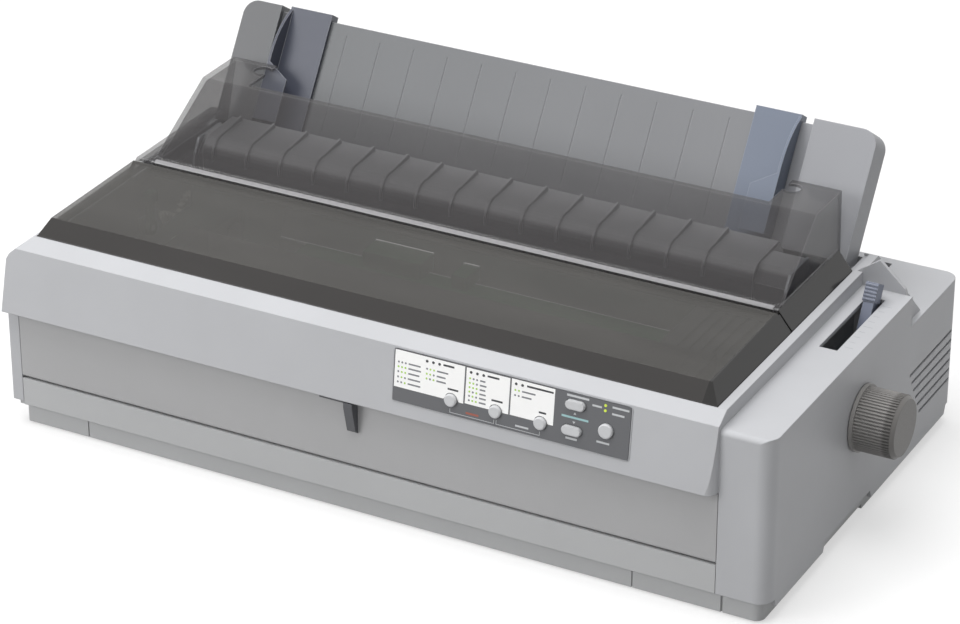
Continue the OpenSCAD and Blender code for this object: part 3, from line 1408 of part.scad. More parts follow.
lower_case();
rubber_feet();
upper_case();
front_trim();
front_cover();
front_cover_pull();
case_screws();
lid();
hood();
lid_hinge_pins();
paper_guide();
edge_guide_left();
edge_guide_right();
paper_chute();
control_panel();
status_leds();
panel_board();
font_button();
pitch_button();
tear_off_button();
load_eject_button();
line_feed_button();
pause_button();
release_lever();
thickness_lever();
platen_knob();
platen_roller();
platen_shaft();
platen_bearings();
platen_gear();
reduction_gear();
feed_motor();
feed_motor_pinion();
feed_idler_front();
feed_idler_middle();
feed_idler_rear();
frame_left();
frame_right();
carriage_shaft();
guide_rail();
carriage();
print_head();
ribbon_cartridge();
ribbon_knob();
ink_ribbon();
drive_belt();
carriage_motor();
drive_pulley();
idler_pulley();
tractor_shaft();
tractor_rod();
tractor_left();
tractor_right();
tractor_flap_left();
tractor_flap_right();
main_board();
power_supply();
power_inlet();
switch_housing();
power_switch();
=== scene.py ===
import math
import random

import bmesh
import bpy
from mathutils import Matrix, Vector


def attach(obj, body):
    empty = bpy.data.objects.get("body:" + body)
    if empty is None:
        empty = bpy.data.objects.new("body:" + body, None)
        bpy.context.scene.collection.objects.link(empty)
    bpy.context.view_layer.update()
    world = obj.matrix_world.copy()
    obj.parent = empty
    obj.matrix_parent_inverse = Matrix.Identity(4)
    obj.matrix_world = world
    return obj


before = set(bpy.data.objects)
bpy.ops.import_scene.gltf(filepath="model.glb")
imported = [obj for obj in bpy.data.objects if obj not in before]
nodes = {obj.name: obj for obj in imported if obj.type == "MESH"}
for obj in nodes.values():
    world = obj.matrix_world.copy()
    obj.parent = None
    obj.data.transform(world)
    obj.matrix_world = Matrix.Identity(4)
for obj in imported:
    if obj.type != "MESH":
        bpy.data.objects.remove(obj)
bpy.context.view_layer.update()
print("frame loaded:", len(nodes), "nodes")


def linear(hexCode):  # sRGB hex to linear RGBA
    parts = [int(hexCode[i:i + 2], 16) / 255 for i in (1, 3, 5)]
    return tuple(c / 12.92 if c <= 0.04045 else ((c + 0.055) / 1.055) ** 2.4 for c in parts) + (1.0,)


# one node with its settings and incoming links; a whole number picks an input by its place
def addNode(tree, kind, settings=None, links=None):
    node = tree.nodes.new(kind)
    for key, value in (settings or {}).items():
        if isinstance(key, int) or key in node.inputs:
            node.inputs[key].default_value = value
        else:
            setattr(node, key, value)
    for key, source in (links or {}).items():
        tree.links.new(source, node.inputs[key])
    return node


def newMaterial(name):  # an empty material, with the coordinates that its patterns follow
    mat = bpy.data.materials.new(name)
    mat.use_nodes = True
    mat.node_tree.nodes.clear()
    coord = addNode(mat.node_tree, "ShaderNodeTexCoord")
    return mat, mat.node_tree, coord.outputs["Object"]


def finishMaterial(tree, shader):
    addNode(tree, "ShaderNodeOutputMaterial", links={"Surface": shader.outputs[0]})


def setStops(ramp, stops):  # stops as (position, linear colour)
    elements = ramp.color_ramp.elements
    while len(elements) < len(stops):
        elements.new(0.5)
    for element, (position, colour) in zip(elements, stops):
        element.position, element.color = position, colour


# 0 on flat faces, up to most where the bevel turns the normal; flat and turned are cosines of that turn
def edgeMask(tree, rounded, flat, most, turned=0.86):
    plain = addNode(tree, "ShaderNodeNewGeometry")
    agree = addNode(tree, "ShaderNodeVectorMath", {"operation": "DOT_PRODUCT"},
                    {0: rounded.outputs[0], 1: plain.outputs["Normal"]})
    mask = addNode(tree, "ShaderNodeMapRange",
                   {"From Min": flat, "From Max": turned, "To Min": 0.0, "To Max": most},
                   {"Value": agree.outputs["Value"]})
    return mask.outputs[0]


def meshPiece(name, bm, mats, body):  # a piece of its own, riding a body
    mesh = bpy.data.meshes.new(name)
    bm.to_mesh(mesh)
    bm.free()
    for mat in mats:
        mesh.materials.append(mat)
    piece = bpy.data.objects.new(name, mesh)
    bpy.context.scene.collection.objects.link(piece)
    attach(piece, body)
    return piece


# what all the moulded plastics share; a piece's own look comes on top
absSet = {
    "roughness": 0.52, "swing": 0.05, "ior": 1.53,
    "fine": 1100.0,  # the real grain is about 0.1 mm; it is drawn at 0.9 mm so that it shows at all
    "grain": 0.25, "grainDepth": 0.00006,
    "broad": 14.0, "mottle": 0.03,  # clouds of tone about 70 mm across
    "edge": 0.0008,  # radius of the soft edges, metres
    "paintedEdgeHighlight": 0.0, "paintedHighlightColour": "#d4d5d8",  # painted highlight: how much paler the edges are painted, where light catches them
    "paintedLightBands": None, "axis": "X", "reach": 0.32,  # painted light and shade along one axis: (place in metres, colour)
}


# Moulded ABS with a fine spark texture: an even, slightly soft grey that never mirrors.
def mouldedAbs(name, look):
    look = {**absSet, **look}
    mat, tree, coord = newMaterial(name)
    fine = addNode(tree, "ShaderNodeTexNoise", {"Scale": look["fine"], "Detail": 3.0}, {"Vector": coord})
    broad = addNode(tree, "ShaderNodeTexNoise", {"Scale": look["broad"], "Detail": 4.0}, {"Vector": coord})
    tone = addNode(tree, "ShaderNodeMapRange",
                   {"From Min": 0.35, "From Max": 0.65,
                    "To Min": 1 - look["mottle"], "To Max": 1 + look["mottle"] * 0.4},
                   {"Value": broad.outputs["Fac"]})
    shade = addNode(tree, "ShaderNodeMix",
                    {"data_type": "RGBA", "blend_type": "MULTIPLY", 0: 1.0, 6: linear(look["colour"])},
                    {7: tone.outputs[0]})
    # painted light and shade: a ramp of colours along one axis replaces the base colour
    if look["paintedLightBands"]:
        reach = look["reach"]
        where = addNode(tree, "ShaderNodeSeparateXYZ", links={"Vector": coord})
        along = addNode(tree, "ShaderNodeMapRange", {"From Min": -reach, "From Max": reach},
                        {"Value": where.outputs[look["axis"]]})
        ramp = addNode(tree, "ShaderNodeValToRGB", links={"Fac": along.outputs[0]})
        setStops(ramp, [((place + reach) / (2 * reach), linear(colour)) for place, colour in look["paintedLightBands"]])
        tree.links.new(ramp.outputs["Color"], shade.inputs[6])
    soft = addNode(tree, "ShaderNodeBevel", {"Radius": look["edge"], "samples": 4})
    shown = shade.outputs[2]
    # painted highlight: the edges are painted paler where the bevel turns the normal
    if look["paintedEdgeHighlight"]:
        highlitEdges = addNode(tree, "ShaderNodeMix", {"data_type": "RGBA", 7: linear(look["paintedHighlightColour"])},
                        {0: edgeMask(tree, soft, 0.985, look["paintedEdgeHighlight"]), 6: shown})
        shown = highlitEdges.outputs[2]
    bump = addNode(tree, "ShaderNodeBump", {"Strength": look["grain"], "Distance": look["grainDepth"]},
                   {"Height": fine.outputs["Fac"], "Normal": soft.outputs[0]})
    rough = addNode(tree, "ShaderNodeMapRange",
                    {"From Min": 0.3, "From Max": 0.7, "To Min": look["roughness"] - look["swing"],
                     "To Max": look["roughness"] + look["swing"]}, {"Value": fine.outputs["Fac"]})
    shader = addNode(tree, "ShaderNodeBsdfPrincipled", {"IOR": look["ior"]},
                     {"Base Color": shown, "Roughness": rough.outputs[0], "Normal": bump.outputs[0]})
    finishMaterial(tree, shader)
    return mat


# what the two smoked covers share
acrylicSet = {
    "ior": 1.49, "swing": 0.08, "edgeRadius": 0.0009, "edgeCover": 0.93,
    # handling and the mechanism's dust leave faint blotches about 50 mm across, drawn out along the width
    "smear": 20.0, "stretch": (0.45, 1.6, 1.0),
}


# Smoked acrylic, injection moulded and polished: dark but see-through, with a clear gloss and painted
# highlights on its edges.
def smokedAcrylic(name, look):
    look = {**acrylicSet, **look}
    mat, tree, coord = newMaterial(name)
    where = addNode(tree, "ShaderNodeSeparateXYZ", links={"Vector": coord})
    stretch = addNode(tree, "ShaderNodeMapping", {"Scale": look["stretch"]}, {"Vector": coord})
    smear = addNode(tree, "ShaderNodeTexNoise", {"Scale": look["smear"], "Detail": 6.0, "Roughness": 0.62},
                    {"Vector": stretch.outputs[0]})
    tint = addNode(tree, "ShaderNodeValToRGB", links={"Fac": smear.outputs["Fac"]})
    setStops(tint, [(0.32, linear(look["colour"])), (0.72, linear(look["haze"]))])
    rough = addNode(tree, "ShaderNodeMapRange",
                    {"From Min": 0.35, "From Max": 0.7, "To Min": look["roughness"],
                     "To Max": look["roughness"] + look["swing"]}, {"Value": smear.outputs["Fac"]})
    soft = addNode(tree, "ShaderNodeBevel", {"Radius": look["edgeRadius"], "samples": 6})
    # painted highlight: the edges are painted pale and more opaque where the bevel turns the normal
    edge = edgeMask(tree, soft, 0.97, look["edge"])
    cover = addNode(tree, "ShaderNodeMapRange", {"To Min": look["cover"], "To Max": look["edgeCover"]},
                    {"Value": edge})
    colour = addNode(tree, "ShaderNodeMix", {"data_type": "RGBA", 7: linear(look["paintedEdgeColour"])},
                     {0: edge, 6: tint.outputs["Color"]})
    shown, opaque = colour.outputs[2], cover.outputs[0]
    for axis, operation, limit, shade in look["paintedLightZones"]:  # each zone takes its painted colour of light or shade and lets nothing through
        inside = addNode(tree, "ShaderNodeMath", {"operation": operation, 1: limit}, {0: where.outputs[axis]})
        blended = addNode(tree, "ShaderNodeMix", {"data_type": "RGBA", 7: linear(shade)},
                          {0: inside.outputs[0], 6: shown})
        zoneOpaque = addNode(tree, "ShaderNodeMath", {"operation": "MULTIPLY_ADD", 1: 1 - look["cover"]},
                          {0: inside.outputs[0], 2: opaque})
        shown, opaque = blended.outputs[2], zoneOpaque.outputs[0]
    shader = addNode(tree, "ShaderNodeBsdfPrincipled", {"IOR": look["ior"]},
                     {"Base Color": shown, "Alpha": opaque, "Roughness": rough.outputs[0],
                      "Normal": soft.outputs[0]})
    finishMaterial(tree, shader)
    return mat


# Ground or rolled steel: bright, with fine lines round or along the piece.
def groundSteel(name, colour, roughness=0.3, stretch=(4.0, 900.0, 900.0)):
    mat, tree, coord = newMaterial(name)
    mapping = addNode(tree, "ShaderNodeMapping", {"Scale": stretch}, {"Vector": coord})
    lines = addNode(tree, "ShaderNodeTexNoise", {"Scale": 1.0, "Detail": 2.0}, {"Vector": mapping.outputs[0]})
    rough = addNode(tree, "ShaderNodeMapRange", {"To Min": roughness - 0.08, "To Max": roughness + 0.12},
                    {"Value": lines.outputs["Fac"]})
    bump = addNode(tree, "ShaderNodeBump", {"Strength": 0.15, "Distance": 0.00003},
                   {"Height": lines.outputs["Fac"]})
    shader = addNode(tree, "ShaderNodeBsdfPrincipled", {"Base Color": linear(colour), "Metallic": 1.0},
                     {"Roughness": rough.outputs[0], "Normal": bump.outputs[0]})
    finishMaterial(tree, shader)
    return mat


# Moulded rubber: near black, dull, with a dusty bloom in patches about 11 mm across.
def mouldedRubber(name, colour, roughness=0.75):
    mat, tree, coord = newMaterial(name)
    bloom = addNode(tree, "ShaderNodeTexNoise", {"Scale": 90.0, "Detail": 6.0}, {"Vector": coord})
    ramp = addNode(tree, "ShaderNodeValToRGB", links={"Fac": bloom.outputs["Fac"]})
    dark = linear(colour)
    dusty = tuple(min(1.0, c * 1.5 + 0.006) for c in dark[:3]) + (1.0,)
    setStops(ramp, [(0.3, dark), (0.75, dusty)])
    shader = addNode(tree, "ShaderNodeBsdfPrincipled", {"Roughness": roughness, "IOR": 1.52},
                     {"Base Color": ramp.outputs["Color"]})
    finishMaterial(tree, shader)
    return mat


# Solder mask on glass epoxy: deep green with a faint copper pattern under it, about 6 mm a step.
def solderMask(name, light, pale, gap):
    mat, tree, coord = newMaterial(name)
    tracks = addNode(tree, "ShaderNodeTexBrick",
                     {"Scale": 160.0, "Color1": linear(light), "Color2": linear(pale), "Mortar": linear(gap)},
                     {"Vector": coord})
    shader = addNode(tree, "ShaderNodeBsdfPrincipled", {"Roughness": 0.32, "IOR": 1.55},
                     {"Base Color": tracks.outputs["Color"]})
    finishMaterial(tree, shader)
    return mat


# Epoxy lamp bodies: smoky and glossy where unlit, clear yellow green where lit.
def tintedEpoxy(name, look):
    mat, tree, coord = newMaterial(name)
    where = addNode(tree, "ShaderNodeSeparateXYZ", links={"Vector": coord})
    on = addNode(tree, "ShaderNodeMath", {"operation": "GREATER_THAN", 1: look["litFrom"]},
                 {0: where.outputs["X"]})
    tint = addNode(tree, "ShaderNodeMix",
                   {"data_type": "RGBA", 6: linear(look["unlit"]), 7: linear(look["lit"])},
                   {0: on.outputs[0]})
    light = addNode(tree, "ShaderNodeMath", {"operation": "MULTIPLY", 1: look["glow"]}, {0: on.outputs[0]})
    cloud = addNode(tree, "ShaderNodeTexNoise", {"Scale": 700.0}, {"Vector": coord})
    rough = addNode(tree, "ShaderNodeMapRange", {"To Min": 0.12, "To Max": 0.22},
                    {"Value": cloud.outputs["Fac"]})
    shader = addNode(tree, "ShaderNodeBsdfPrincipled",
                     {"IOR": 1.54, "Emission Color": linear(look["lit"])},
                     {"Base Color": tint.outputs[2], "Emission Strength": light.outputs[0],
                      "Roughness": rough.outputs[0]})
    finishMaterial(tree, shader)
    return mat


# Screen-printed ink on a polycarbonate overlay: flat, crisp colour a little duller than the sheet.
def printedInk(name, colour, roughness=0.45):
    mat, tree, coord = newMaterial(name)
    mesh = addNode(tree, "ShaderNodeTexNoise", {"Scale": 2200.0}, {"Vector": coord})
    rough = addNode(tree, "ShaderNodeMapRange", {"To Min": roughness - 0.06, "To Max": roughness + 0.06},
                    {"Value": mesh.outputs["Fac"]})
    shader = addNode(tree, "ShaderNodeBsdfPrincipled", {"Base Color": linear(colour), "IOR": 1.5},
                     {"Roughness": rough.outputs[0]})
    finishMaterial(tree, shader)
    return mat


caseAbs = mouldedAbs("Moulded ABS, light grey", {"colour": "#b7b8bb"})
# painted shade: the front cover is the case's plastic painted a little darker, for the shade under the
# fascia's overhang
shadedCoverAbs = mouldedAbs("Moulded ABS, front cover", {"colour": "#adadae"})
trayAbs = mouldedAbs("Moulded ABS, base tray", {"colour": "#b7b8b9"})
# painted light and shade: the guide is painted darker at its left tower and paler towards its right tower, as
# the light falls; its edges carry a painted highlight
guideAbs = mouldedAbs("Moulded ABS, paper guide", {
    "colour": "#909194", "roughness": 0.45, "edge": 0.0012, "paintedEdgeHighlight": 0.3,
    "paintedLightBands": [(-0.263, "#5d5e60"), (-0.257, "#606264"), (0.16, "#77787b"), (0.186, "#8e8f93")]})
# painted light and shade: a painted highlight along the ledge's crest, painted shade down its face, and
# painted highlights on the rib edges
chuteAbs = mouldedAbs("Moulded ABS, paper chute", {
    "colour": "#9c9c9e", "roughness": 0.4, "grain": 0.06, "paintedEdgeHighlight": 0.85, "axis": "Z",
    "paintedLightBands": [(0.1535, "#4f4f51"), (0.1585, "#5c5c5e"), (0.1605, "#b9b9bb"), (0.1645, "#8b8b8d")]})
slateAbs = mouldedAbs("Moulded ABS, slate blue", {"colour": "#484b56", "roughness": 0.42, "paintedEdgeHighlight": 0.5})
paleSlateAbs = mouldedAbs("Moulded ABS, pale slate blue", {
    "colour": "#68707f", "roughness": 0.42, "paintedEdgeHighlight": 0.4})
leverAbs = mouldedAbs("Moulded ABS, lever slate", {"colour": "#6f7586", "roughness": 0.42, "paintedEdgeHighlight": 0.3})
# painted light and shade: the ribbed side is painted paler, as lit, and the outer face darker, as shaded
knobAbs = mouldedAbs("Moulded ABS, warm dark grey", {
    "colour": "#73716f", "roughness": 0.5, "paintedLightBands": [(0.3105, "#8f8d8b"), (0.3125, "#6b6967")]})
darkAbs = mouldedAbs("Moulded ABS, dark grey", {"colour": "#4a4b4f", "roughness": 0.45})
blackAbs = mouldedAbs("Moulded ABS, black", {"colour": "#232326", "roughness": 0.42})
buttonAbs = mouldedAbs("Moulded ABS, button grey", {"colour": "#c9cacc", "roughness": 0.38, "grain": 0.05})
greenAbs = mouldedAbs("Moulded ABS, lever green", {"colour": "#4f7a5c"})
acetal = mouldedAbs("Moulded acetal, natural", {"colour": "#dcdad0", "roughness": 0.35, "grain": 0.05})
# zones: painted shade on the front band and the right side, a painted shadow in the groove before the round
# bar, and a painted highlight along the bar
lidAcrylic = smokedAcrylic("Smoked acrylic, lid", {
    "colour": "#3b3936", "haze": "#494744", "cover": 0.62, "roughness": 0.14,
    "edge": 0.8, "paintedEdgeColour": "#85827f",
    "paintedLightZones": [("Y", "LESS_THAN", -0.1394, "#2e2c2b"), ("X", "GREATER_THAN", 0.2294, "#1b1a19"),
              ("Y", "GREATER_THAN", -0.0329, "#0c0b0b"), ("Y", "GREATER_THAN", -0.0283, "#8b8a8c")]})
# zones: painted shade on the right side skirt
hoodAcrylic = smokedAcrylic("Smoked acrylic, hood", {
    "colour": "#403e3f", "haze": "#4a4849", "cover": 0.42, "roughness": 0.08,
    "edge": 0.9, "paintedEdgeColour": "#98979a",
    "paintedLightZones": [("X", "GREATER_THAN", 0.2296, "#1d1c1b")]})
shaftSteel = groundSteel("Ground steel shaft", "#c9cacc")
sheetSteel = groundSteel("Zinc plated sheet steel", "#a9acb0", 0.42, (60.0, 60.0, 60.0))
# painted shade: the supply casing is painted darker than zinc plate, for the shade inside the case under the
# lid
supplySteel = groundSteel("Zinc plated supply casing, painted shade", "#5f6163", 0.55, (60.0, 60.0, 60.0))
screwSteel = groundSteel("Nickel plated screw steel", "#b4b6b9", 0.28)
anodisedAlloy = groundSteel("Black anodised die-cast aluminium", "#2c2d30", 0.45, (300.0, 300.0, 300.0))
motorSteel = mouldedAbs("Stoved enamel on motor steel", {"colour": "#4c4e52", "roughness": 0.35})
turnedBrass = groundSteel("Turned brass", "#c9a55a", 0.25)
rollerRubber = mouldedRubber("Ground platen rubber", "#2a2a2c")
footRubber = mouldedRubber("Moulded foot rubber", "#333335", 0.85)
beltNeoprene = mouldedRubber("Toothed neoprene belt", "#1e1f21", 0.7)
inkedNylon = mouldedRubber("Inked nylon ribbon", "#141416", 0.9)
boardMask = solderMask("Solder mask on glass epoxy", "#1f6a3c", "#2a7c48", "#12492a")
lampEpoxy = tintedEpoxy("Tinted epoxy lamps", {  # only the upright pair on the right is lit
    "unlit": "#3c3d3f", "lit": "#c3d64a", "litFrom": 0.15, "glow": 0.25})
panelSheet = printedInk("Polycarbonate overlay, dark grey", "#606164", 0.4)
whiteInk = printedInk("Screen print, white", "#fdfdfc", 0.4)
greyInk = printedInk("Screen print, grey", "#7d7f83", 0.5)
blackInk = printedInk("Screen print, black", "#2d2e31", 0.5)
greenInk = printedInk("Screen print, green", "#a6cf5a")
paleInk = printedInk("Screen print, pale grey", "#c4c6c8")
cyanInk = printedInk("Screen print, pale cyan", "#9fc4c6")
redInk = printedInk("Screen print, red brown", "#9a5a4c")
scaleInk = printedInk("Pad print, faint grey", "#a3a5a9", 0.5)
print("finishes made:", len(bpy.data.materials))

finishOf = {
    caseAbs: ["upper_case"],
    shadedCoverAbs: ["front_cover"],
    trayAbs: ["lower_case", "front_trim"],
    guideAbs: ["paper_guide"],
    chuteAbs: ["paper_chute"],
    slateAbs: ["edge_guide_left"],
    leverAbs: ["release_lever"],
    paleSlateAbs: ["edge_guide_right"],
    knobAbs: ["platen_knob"],
    darkAbs: ["front_cover_pull", "carriage", "tractor_left", "tractor_right",
              "tractor_flap_left", "tractor_flap_right"],
    blackAbs: ["ribbon_cartridge", "power_inlet", "switch_housing", "power_switch"],
    buttonAbs: ["font_button", "pitch_button", "tear_off_button",
                "load_eject_button", "line_feed_button", "pause_button"],
    greenAbs: ["thickness_lever"],
    acetal: ["platen_bearings", "platen_gear", "reduction_gear", "feed_idler_front",
             "feed_idler_middle", "feed_idler_rear", "ribbon_knob", "idler_pulley"],
    lidAcrylic: ["lid"],
    hoodAcrylic: ["hood"],
    shaftSteel: ["platen_shaft", "carriage_shaft", "tractor_shaft", "tractor_rod", "lid_hinge_pins"],
    sheetSteel: ["frame_left", "frame_right", "guide_rail"],
    supplySteel: ["power_supply"],
    screwSteel: ["case_screws"],
    anodisedAlloy: ["print_head"],
    motorSteel: ["feed_motor", "carriage_motor"],
    turnedBrass: ["feed_motor_pinion", "drive_pulley"],
    rollerRubber: ["platen_roller"],
    footRubber: ["rubber_feet"],
    beltNeoprene: ["drive_belt"],
    inkedNylon: ["ink_ribbon"],
    boardMask: ["main_board", "panel_board"],
    lampEpoxy: ["status_leds"],
    panelSheet: ["control_panel"],
}
for finish, names in finishOf.items():  # each CAD node gets its finish in its own slots
    for name in names:
        for materialSlot in nodes[name].material_slots:
            materialSlot.material = finish
print("CAD nodes dressed:", sum(len(names) for names in finishOf.values()))


def addPlate(bm, place, outline, low, high, matIndex=0):  # a flat plate, outline counterclockwise
    under = [bm.verts.new(place @ Vector((x, y, low))) for x, y in outline]
    over = [bm.verts.new(place @ Vector((x, y, high))) for x, y in outline]
    faces = [bm.faces.new(over), bm.faces.new(list(reversed(under)))]
    for i in range(len(outline)):
        j = (i + 1) % len(outline)
        faces.append(bm.faces.new((under[i], under[j], over[j], over[i])))
    for face in faces:
        face.material_index = matIndex


def dot(x, y, r, count=14):
    turns = [2 * math.pi * i / count for i in range(count)]
    return [(x + r * math.cos(turn), y + r * math.sin(turn)) for turn in turns]


def bar(x0, x1, y, height):
    return [(x0, y - height / 2), (x1, y - height / 2), (x1, y + height / 2), (x0, y + height / 2)]


def roundedRect(x0, x1, y0, y1, r, count=6):
    corners = ((x1 - r, y0 + r, -90), (x1 - r, y1 - r, 0), (x0 + r, y1 - r, 90), (x0 + r, y0 + r, 180))
    turns = [(cx, cy, math.radians(start + 90 * i / count))
             for cx, cy, start in corners for i in range(count + 1)]
    return [(cx + r * math.cos(turn), cy + r * math.sin(turn)) for cx, cy, turn in turns]


# the case frame: x from the left side, y back from the front plane, z up, in millimetres
caseSet = {"left": -0.3195, "front": -0.1613836, "tilt": 7.083, "fasciaY": -8.0, "fasciaZ": 95.3}
mm = 0.001
lean = math.radians(caseSet["tilt"])
casePlace = Matrix(((mm, 0, 0, caseSet["left"]), (0, mm, 0, caseSet["front"]), (0, 0, mm, 0), (0, 0, 0, 1)))
# on the fascia: x as before, s up its slope, h out of it
fasciaPlace = casePlace @ Matrix(((1, 0, 0, 0),
                                  (0, math.sin(lean), -math.cos(lean), caseSet["fasciaY"]),
                                  (0, math.cos(lean), math.sin(lean), caseSet["fasciaZ"]),
                                  (0, 0, 0, 1)))

panelSet = {
    "face": 0.6, "ink": 0.05, "sunk": 0.02, "inkSunk": 0.01,  # heights over the fascia; print starts sunk
    # white labels: x0, x1, s0, s1, x of the button that the lower edge runs round
    "labels": [(325.3, 379.2, 21.6, 48.8, 369.8), (380.4, 413.7, 22.2, 48.6, 404.0),
               (414.9, 447.6, 22.4, 48.9, 438.2)],
    "buttonGap": 5.1, "buttonRow": 22.0, "labelSteps": 60,
    # lamp codes and a strip for each setting: first dot x, dot count, strip end, rows of (s, code)
    "settings": [(328.2, 3, 346.0, ((40.2, 0), (36.7, 7), (33.1, 3), (29.2, 2), (25.5, 1))),
                 (350.2, 3, 368.0, ((40.2, 3), (36.5, 6), (33.0, 5))),
                 (383.4, 3, 396.5, ((41.2, 4), (37.9, 6), (34.7, 7), (31.5, 5), (28.4, 2), (25.2, 3))),
                 (418.0, 2, 434.0, ((41.2, 3), (37.4, 0)))],
    "dotRadius": 0.75, "dotPitch": 2.7, "stripGap": 0.4, "stripHeight": 1.15, "stripShort": 0.35,
    "titles": [(362.5, 371.0, 45.9), (396.5, 405.5, 45.9), (426.5, 446.5, 45.9), (366.8, 375.0, 29.6),
               (400.5, 409.0, 29.6), (436.5, 442.0, 29.6)],  # x0, x1, s
    "titleHeight": 1.35,
    # straight marks on the dark sheet: x0, x1, s, height
    "paleBars": [(456.5, 473.0, 47.4, 1.5), (457.5, 466.0, 16.5, 1.5), (475.6, 482.6, 44.4, 1.4),
                 (490.4, 502.8, 46.4, 1.4), (490.4, 499.5, 41.6, 1.4), (480.5, 490.0, 19.4, 1.4),
                 (419.5, 429.5, 15.6, 1.3), (369.2, 403.4, 12.9, 0.35), (404.8, 438.2, 12.9, 0.35)],
    "rises": [(369.4, 12.9, 15.8), (403.2, 12.9, 15.8), (405.0, 12.9, 15.8), (438.0, 12.9, 15.8)],
    "riseHalf": 0.18,
    "cyanBar": (453.5, 473.5, 31.9, 1.5), "redBar": (381.6, 391.4, 15.4, 1.5),
    "arrows": [(463.2, 35.0, 1.0), (462.9, 28.6, -1.0)],  # x, s, 1 for up or -1 for down
    "arrowHalf": 1.1, "arrowBase": 0.7, "arrowTip": 1.0,
}
onSheet = (panelSet["face"] - panelSet["sunk"], panelSet["face"] + panelSet["ink"])
onLabel = (panelSet["face"] + panelSet["ink"] - panelSet["inkSunk"], panelSet["face"] + panelSet["ink"] * 2)

bm = bmesh.new()
for x0, x1, s0, s1, buttonX in panelSet["labels"]:
    outline = [(x1, s1), (x0, s1)]
    for i in range(panelSet["labelSteps"] + 1):  # the lower edge runs round the button
        x = x0 + (x1 - x0) * i / panelSet["labelSteps"]
        reach = panelSet["buttonGap"] ** 2 - (x - buttonX) ** 2
        outline.append((x, max(s0, panelSet["buttonRow"] + math.sqrt(reach)) if reach > 0 else s0))
    addPlate(bm, fasciaPlace, outline, *onSheet)
meshPiece("panel_labels", bm, [whiteInk], "case")

bm = bmesh.new()
legendRandom = random.Random(4)
for x, count, end, rows in panelSet["settings"]:
    for s, code in rows:
        for i in range(count):
            lit = code >> (count - 1 - i) & 1
            lamp = dot(x + panelSet["dotPitch"] * i, s, panelSet["dotRadius"])
            addPlate(bm, fasciaPlace, lamp, *onLabel, lit)
        start = x + panelSet["dotPitch"] * count - panelSet["stripGap"]
        stop = end - legendRandom.uniform(0, panelSet["stripShort"]) * (end - start)
        addPlate(bm, fasciaPlace, bar(start, stop, s, panelSet["stripHeight"]), *onLabel, 0)
for x0, x1, s in panelSet["titles"]:
    addPlate(bm, fasciaPlace, bar(x0, x1, s, panelSet["titleHeight"]), *onLabel, 2)
meshPiece("label_legends", bm, [greyInk, greenInk, blackInk], "case")

bm = bmesh.new()
for mark in panelSet["paleBars"]:
    addPlate(bm, fasciaPlace, bar(*mark), *onSheet, 0)
half = panelSet["riseHalf"]
for x, s0, s1 in panelSet["rises"]:
    addPlate(bm, fasciaPlace, [(x - half, s0), (x + half, s0), (x + half, s1), (x - half, s1)], *onSheet, 0)
half = panelSet["arrowHalf"]
for x, s, way in panelSet["arrows"]:
    base, tip = s - panelSet["arrowBase"] * way, s + panelSet["arrowTip"] * way
    outline = [(x - half, base), (x + half, base), (x, tip)]
    addPlate(bm, fasciaPlace, outline if way > 0 else list(reversed(outline)), *onSheet, 0)
addPlate(bm, fasciaPlace, bar(*panelSet["cyanBar"]), *onSheet, 1)
addPlate(bm, fasciaPlace, bar(*panelSet["redBar"]), *onSheet, 2)
meshPiece("panel_legends", bm, [paleInk, cyanInk, redInk], "case")
print("control panel printed")

# a thin strip of case plastic round the panel: a painted highlight for the light on the recess edge
edgeHighlightSet = {"edges": (324.5, 504.5, 11.0, 49.6), "corner": 2.2, "rim": 0.9, "overlap": 0.05,
          "low": -0.02, "high": 0.3}


def panelEdge(grow, corner):  # the panel's outline, grown all round
    x0, x1, s0, s1 = edgeHighlightSet["edges"]
    return roundedRect(x0 - grow, x1 + grow, s0 - grow, s1 + grow, corner)


outer = panelEdge(edgeHighlightSet["rim"], edgeHighlightSet["corner"] + edgeHighlightSet["rim"])
inner = panelEdge(edgeHighlightSet["overlap"], edgeHighlightSet["corner"])
bm = bmesh.new()
rings = [[bm.verts.new(fasciaPlace @ Vector((x, s, h))) for x, s in loop]
         for loop, h in ((outer, edgeHighlightSet["low"]), (outer, edgeHighlightSet["high"]),
                         (inner, edgeHighlightSet["high"]), (inner, edgeHighlightSet["low"]))]
for first, second in zip(rings, rings[1:] + rings[:1]):
    for i in range(len(outer)):
        j = (i + 1) % len(outer)
        bm.faces.new((first[i], first[j], second[j], second[i]))
bmesh.ops.recalc_face_normals(bm, faces=bm.faces)
meshPiece("panel_edge_highlight", bm, [caseAbs], "case")
print("panel lip made")

# the scale beside the release lever: every fourth mark is longer
scaleSet = {"x0": 593.0, "short": 597.6, "long": 599.6, "firstY": 146.0, "pitch": 8.6, "count": 9,
            "top": 143.0, "ink": 0.05, "sunk": 0.02, "width": 0.55}
bm = bmesh.new()
for i in range(scaleSet["count"]):
    mark = bar(scaleSet["x0"], scaleSet["long" if i % 4 == 0 else "short"],
               scaleSet["firstY"] + scaleSet["pitch"] * i, scaleSet["width"])
    addPlate(bm, casePlace, mark, scaleSet["top"] - scaleSet["sunk"], scaleSet["top"] + scaleSet["ink"])
meshPiece("lever_scale", bm, [scaleInk], "case")
print("lever scale printed")


def whiteRays(tree):  # 1 for rays from the camera, off a gloss or through glass: these meet plain white
    path = addNode(tree, "ShaderNodeLightPath")
    glossy = addNode(tree, "ShaderNodeMath", {"operation": "MAXIMUM"},
                     {0: path.outputs["Is Camera Ray"], 1: path.outputs["Is Glossy Ray"]})
    through = addNode(tree, "ShaderNodeMath", {"operation": "MAXIMUM"},
                      {0: glossy.outputs[0], 1: path.outputs["Is Transmission Ray"]})
    return through.outputs[0]


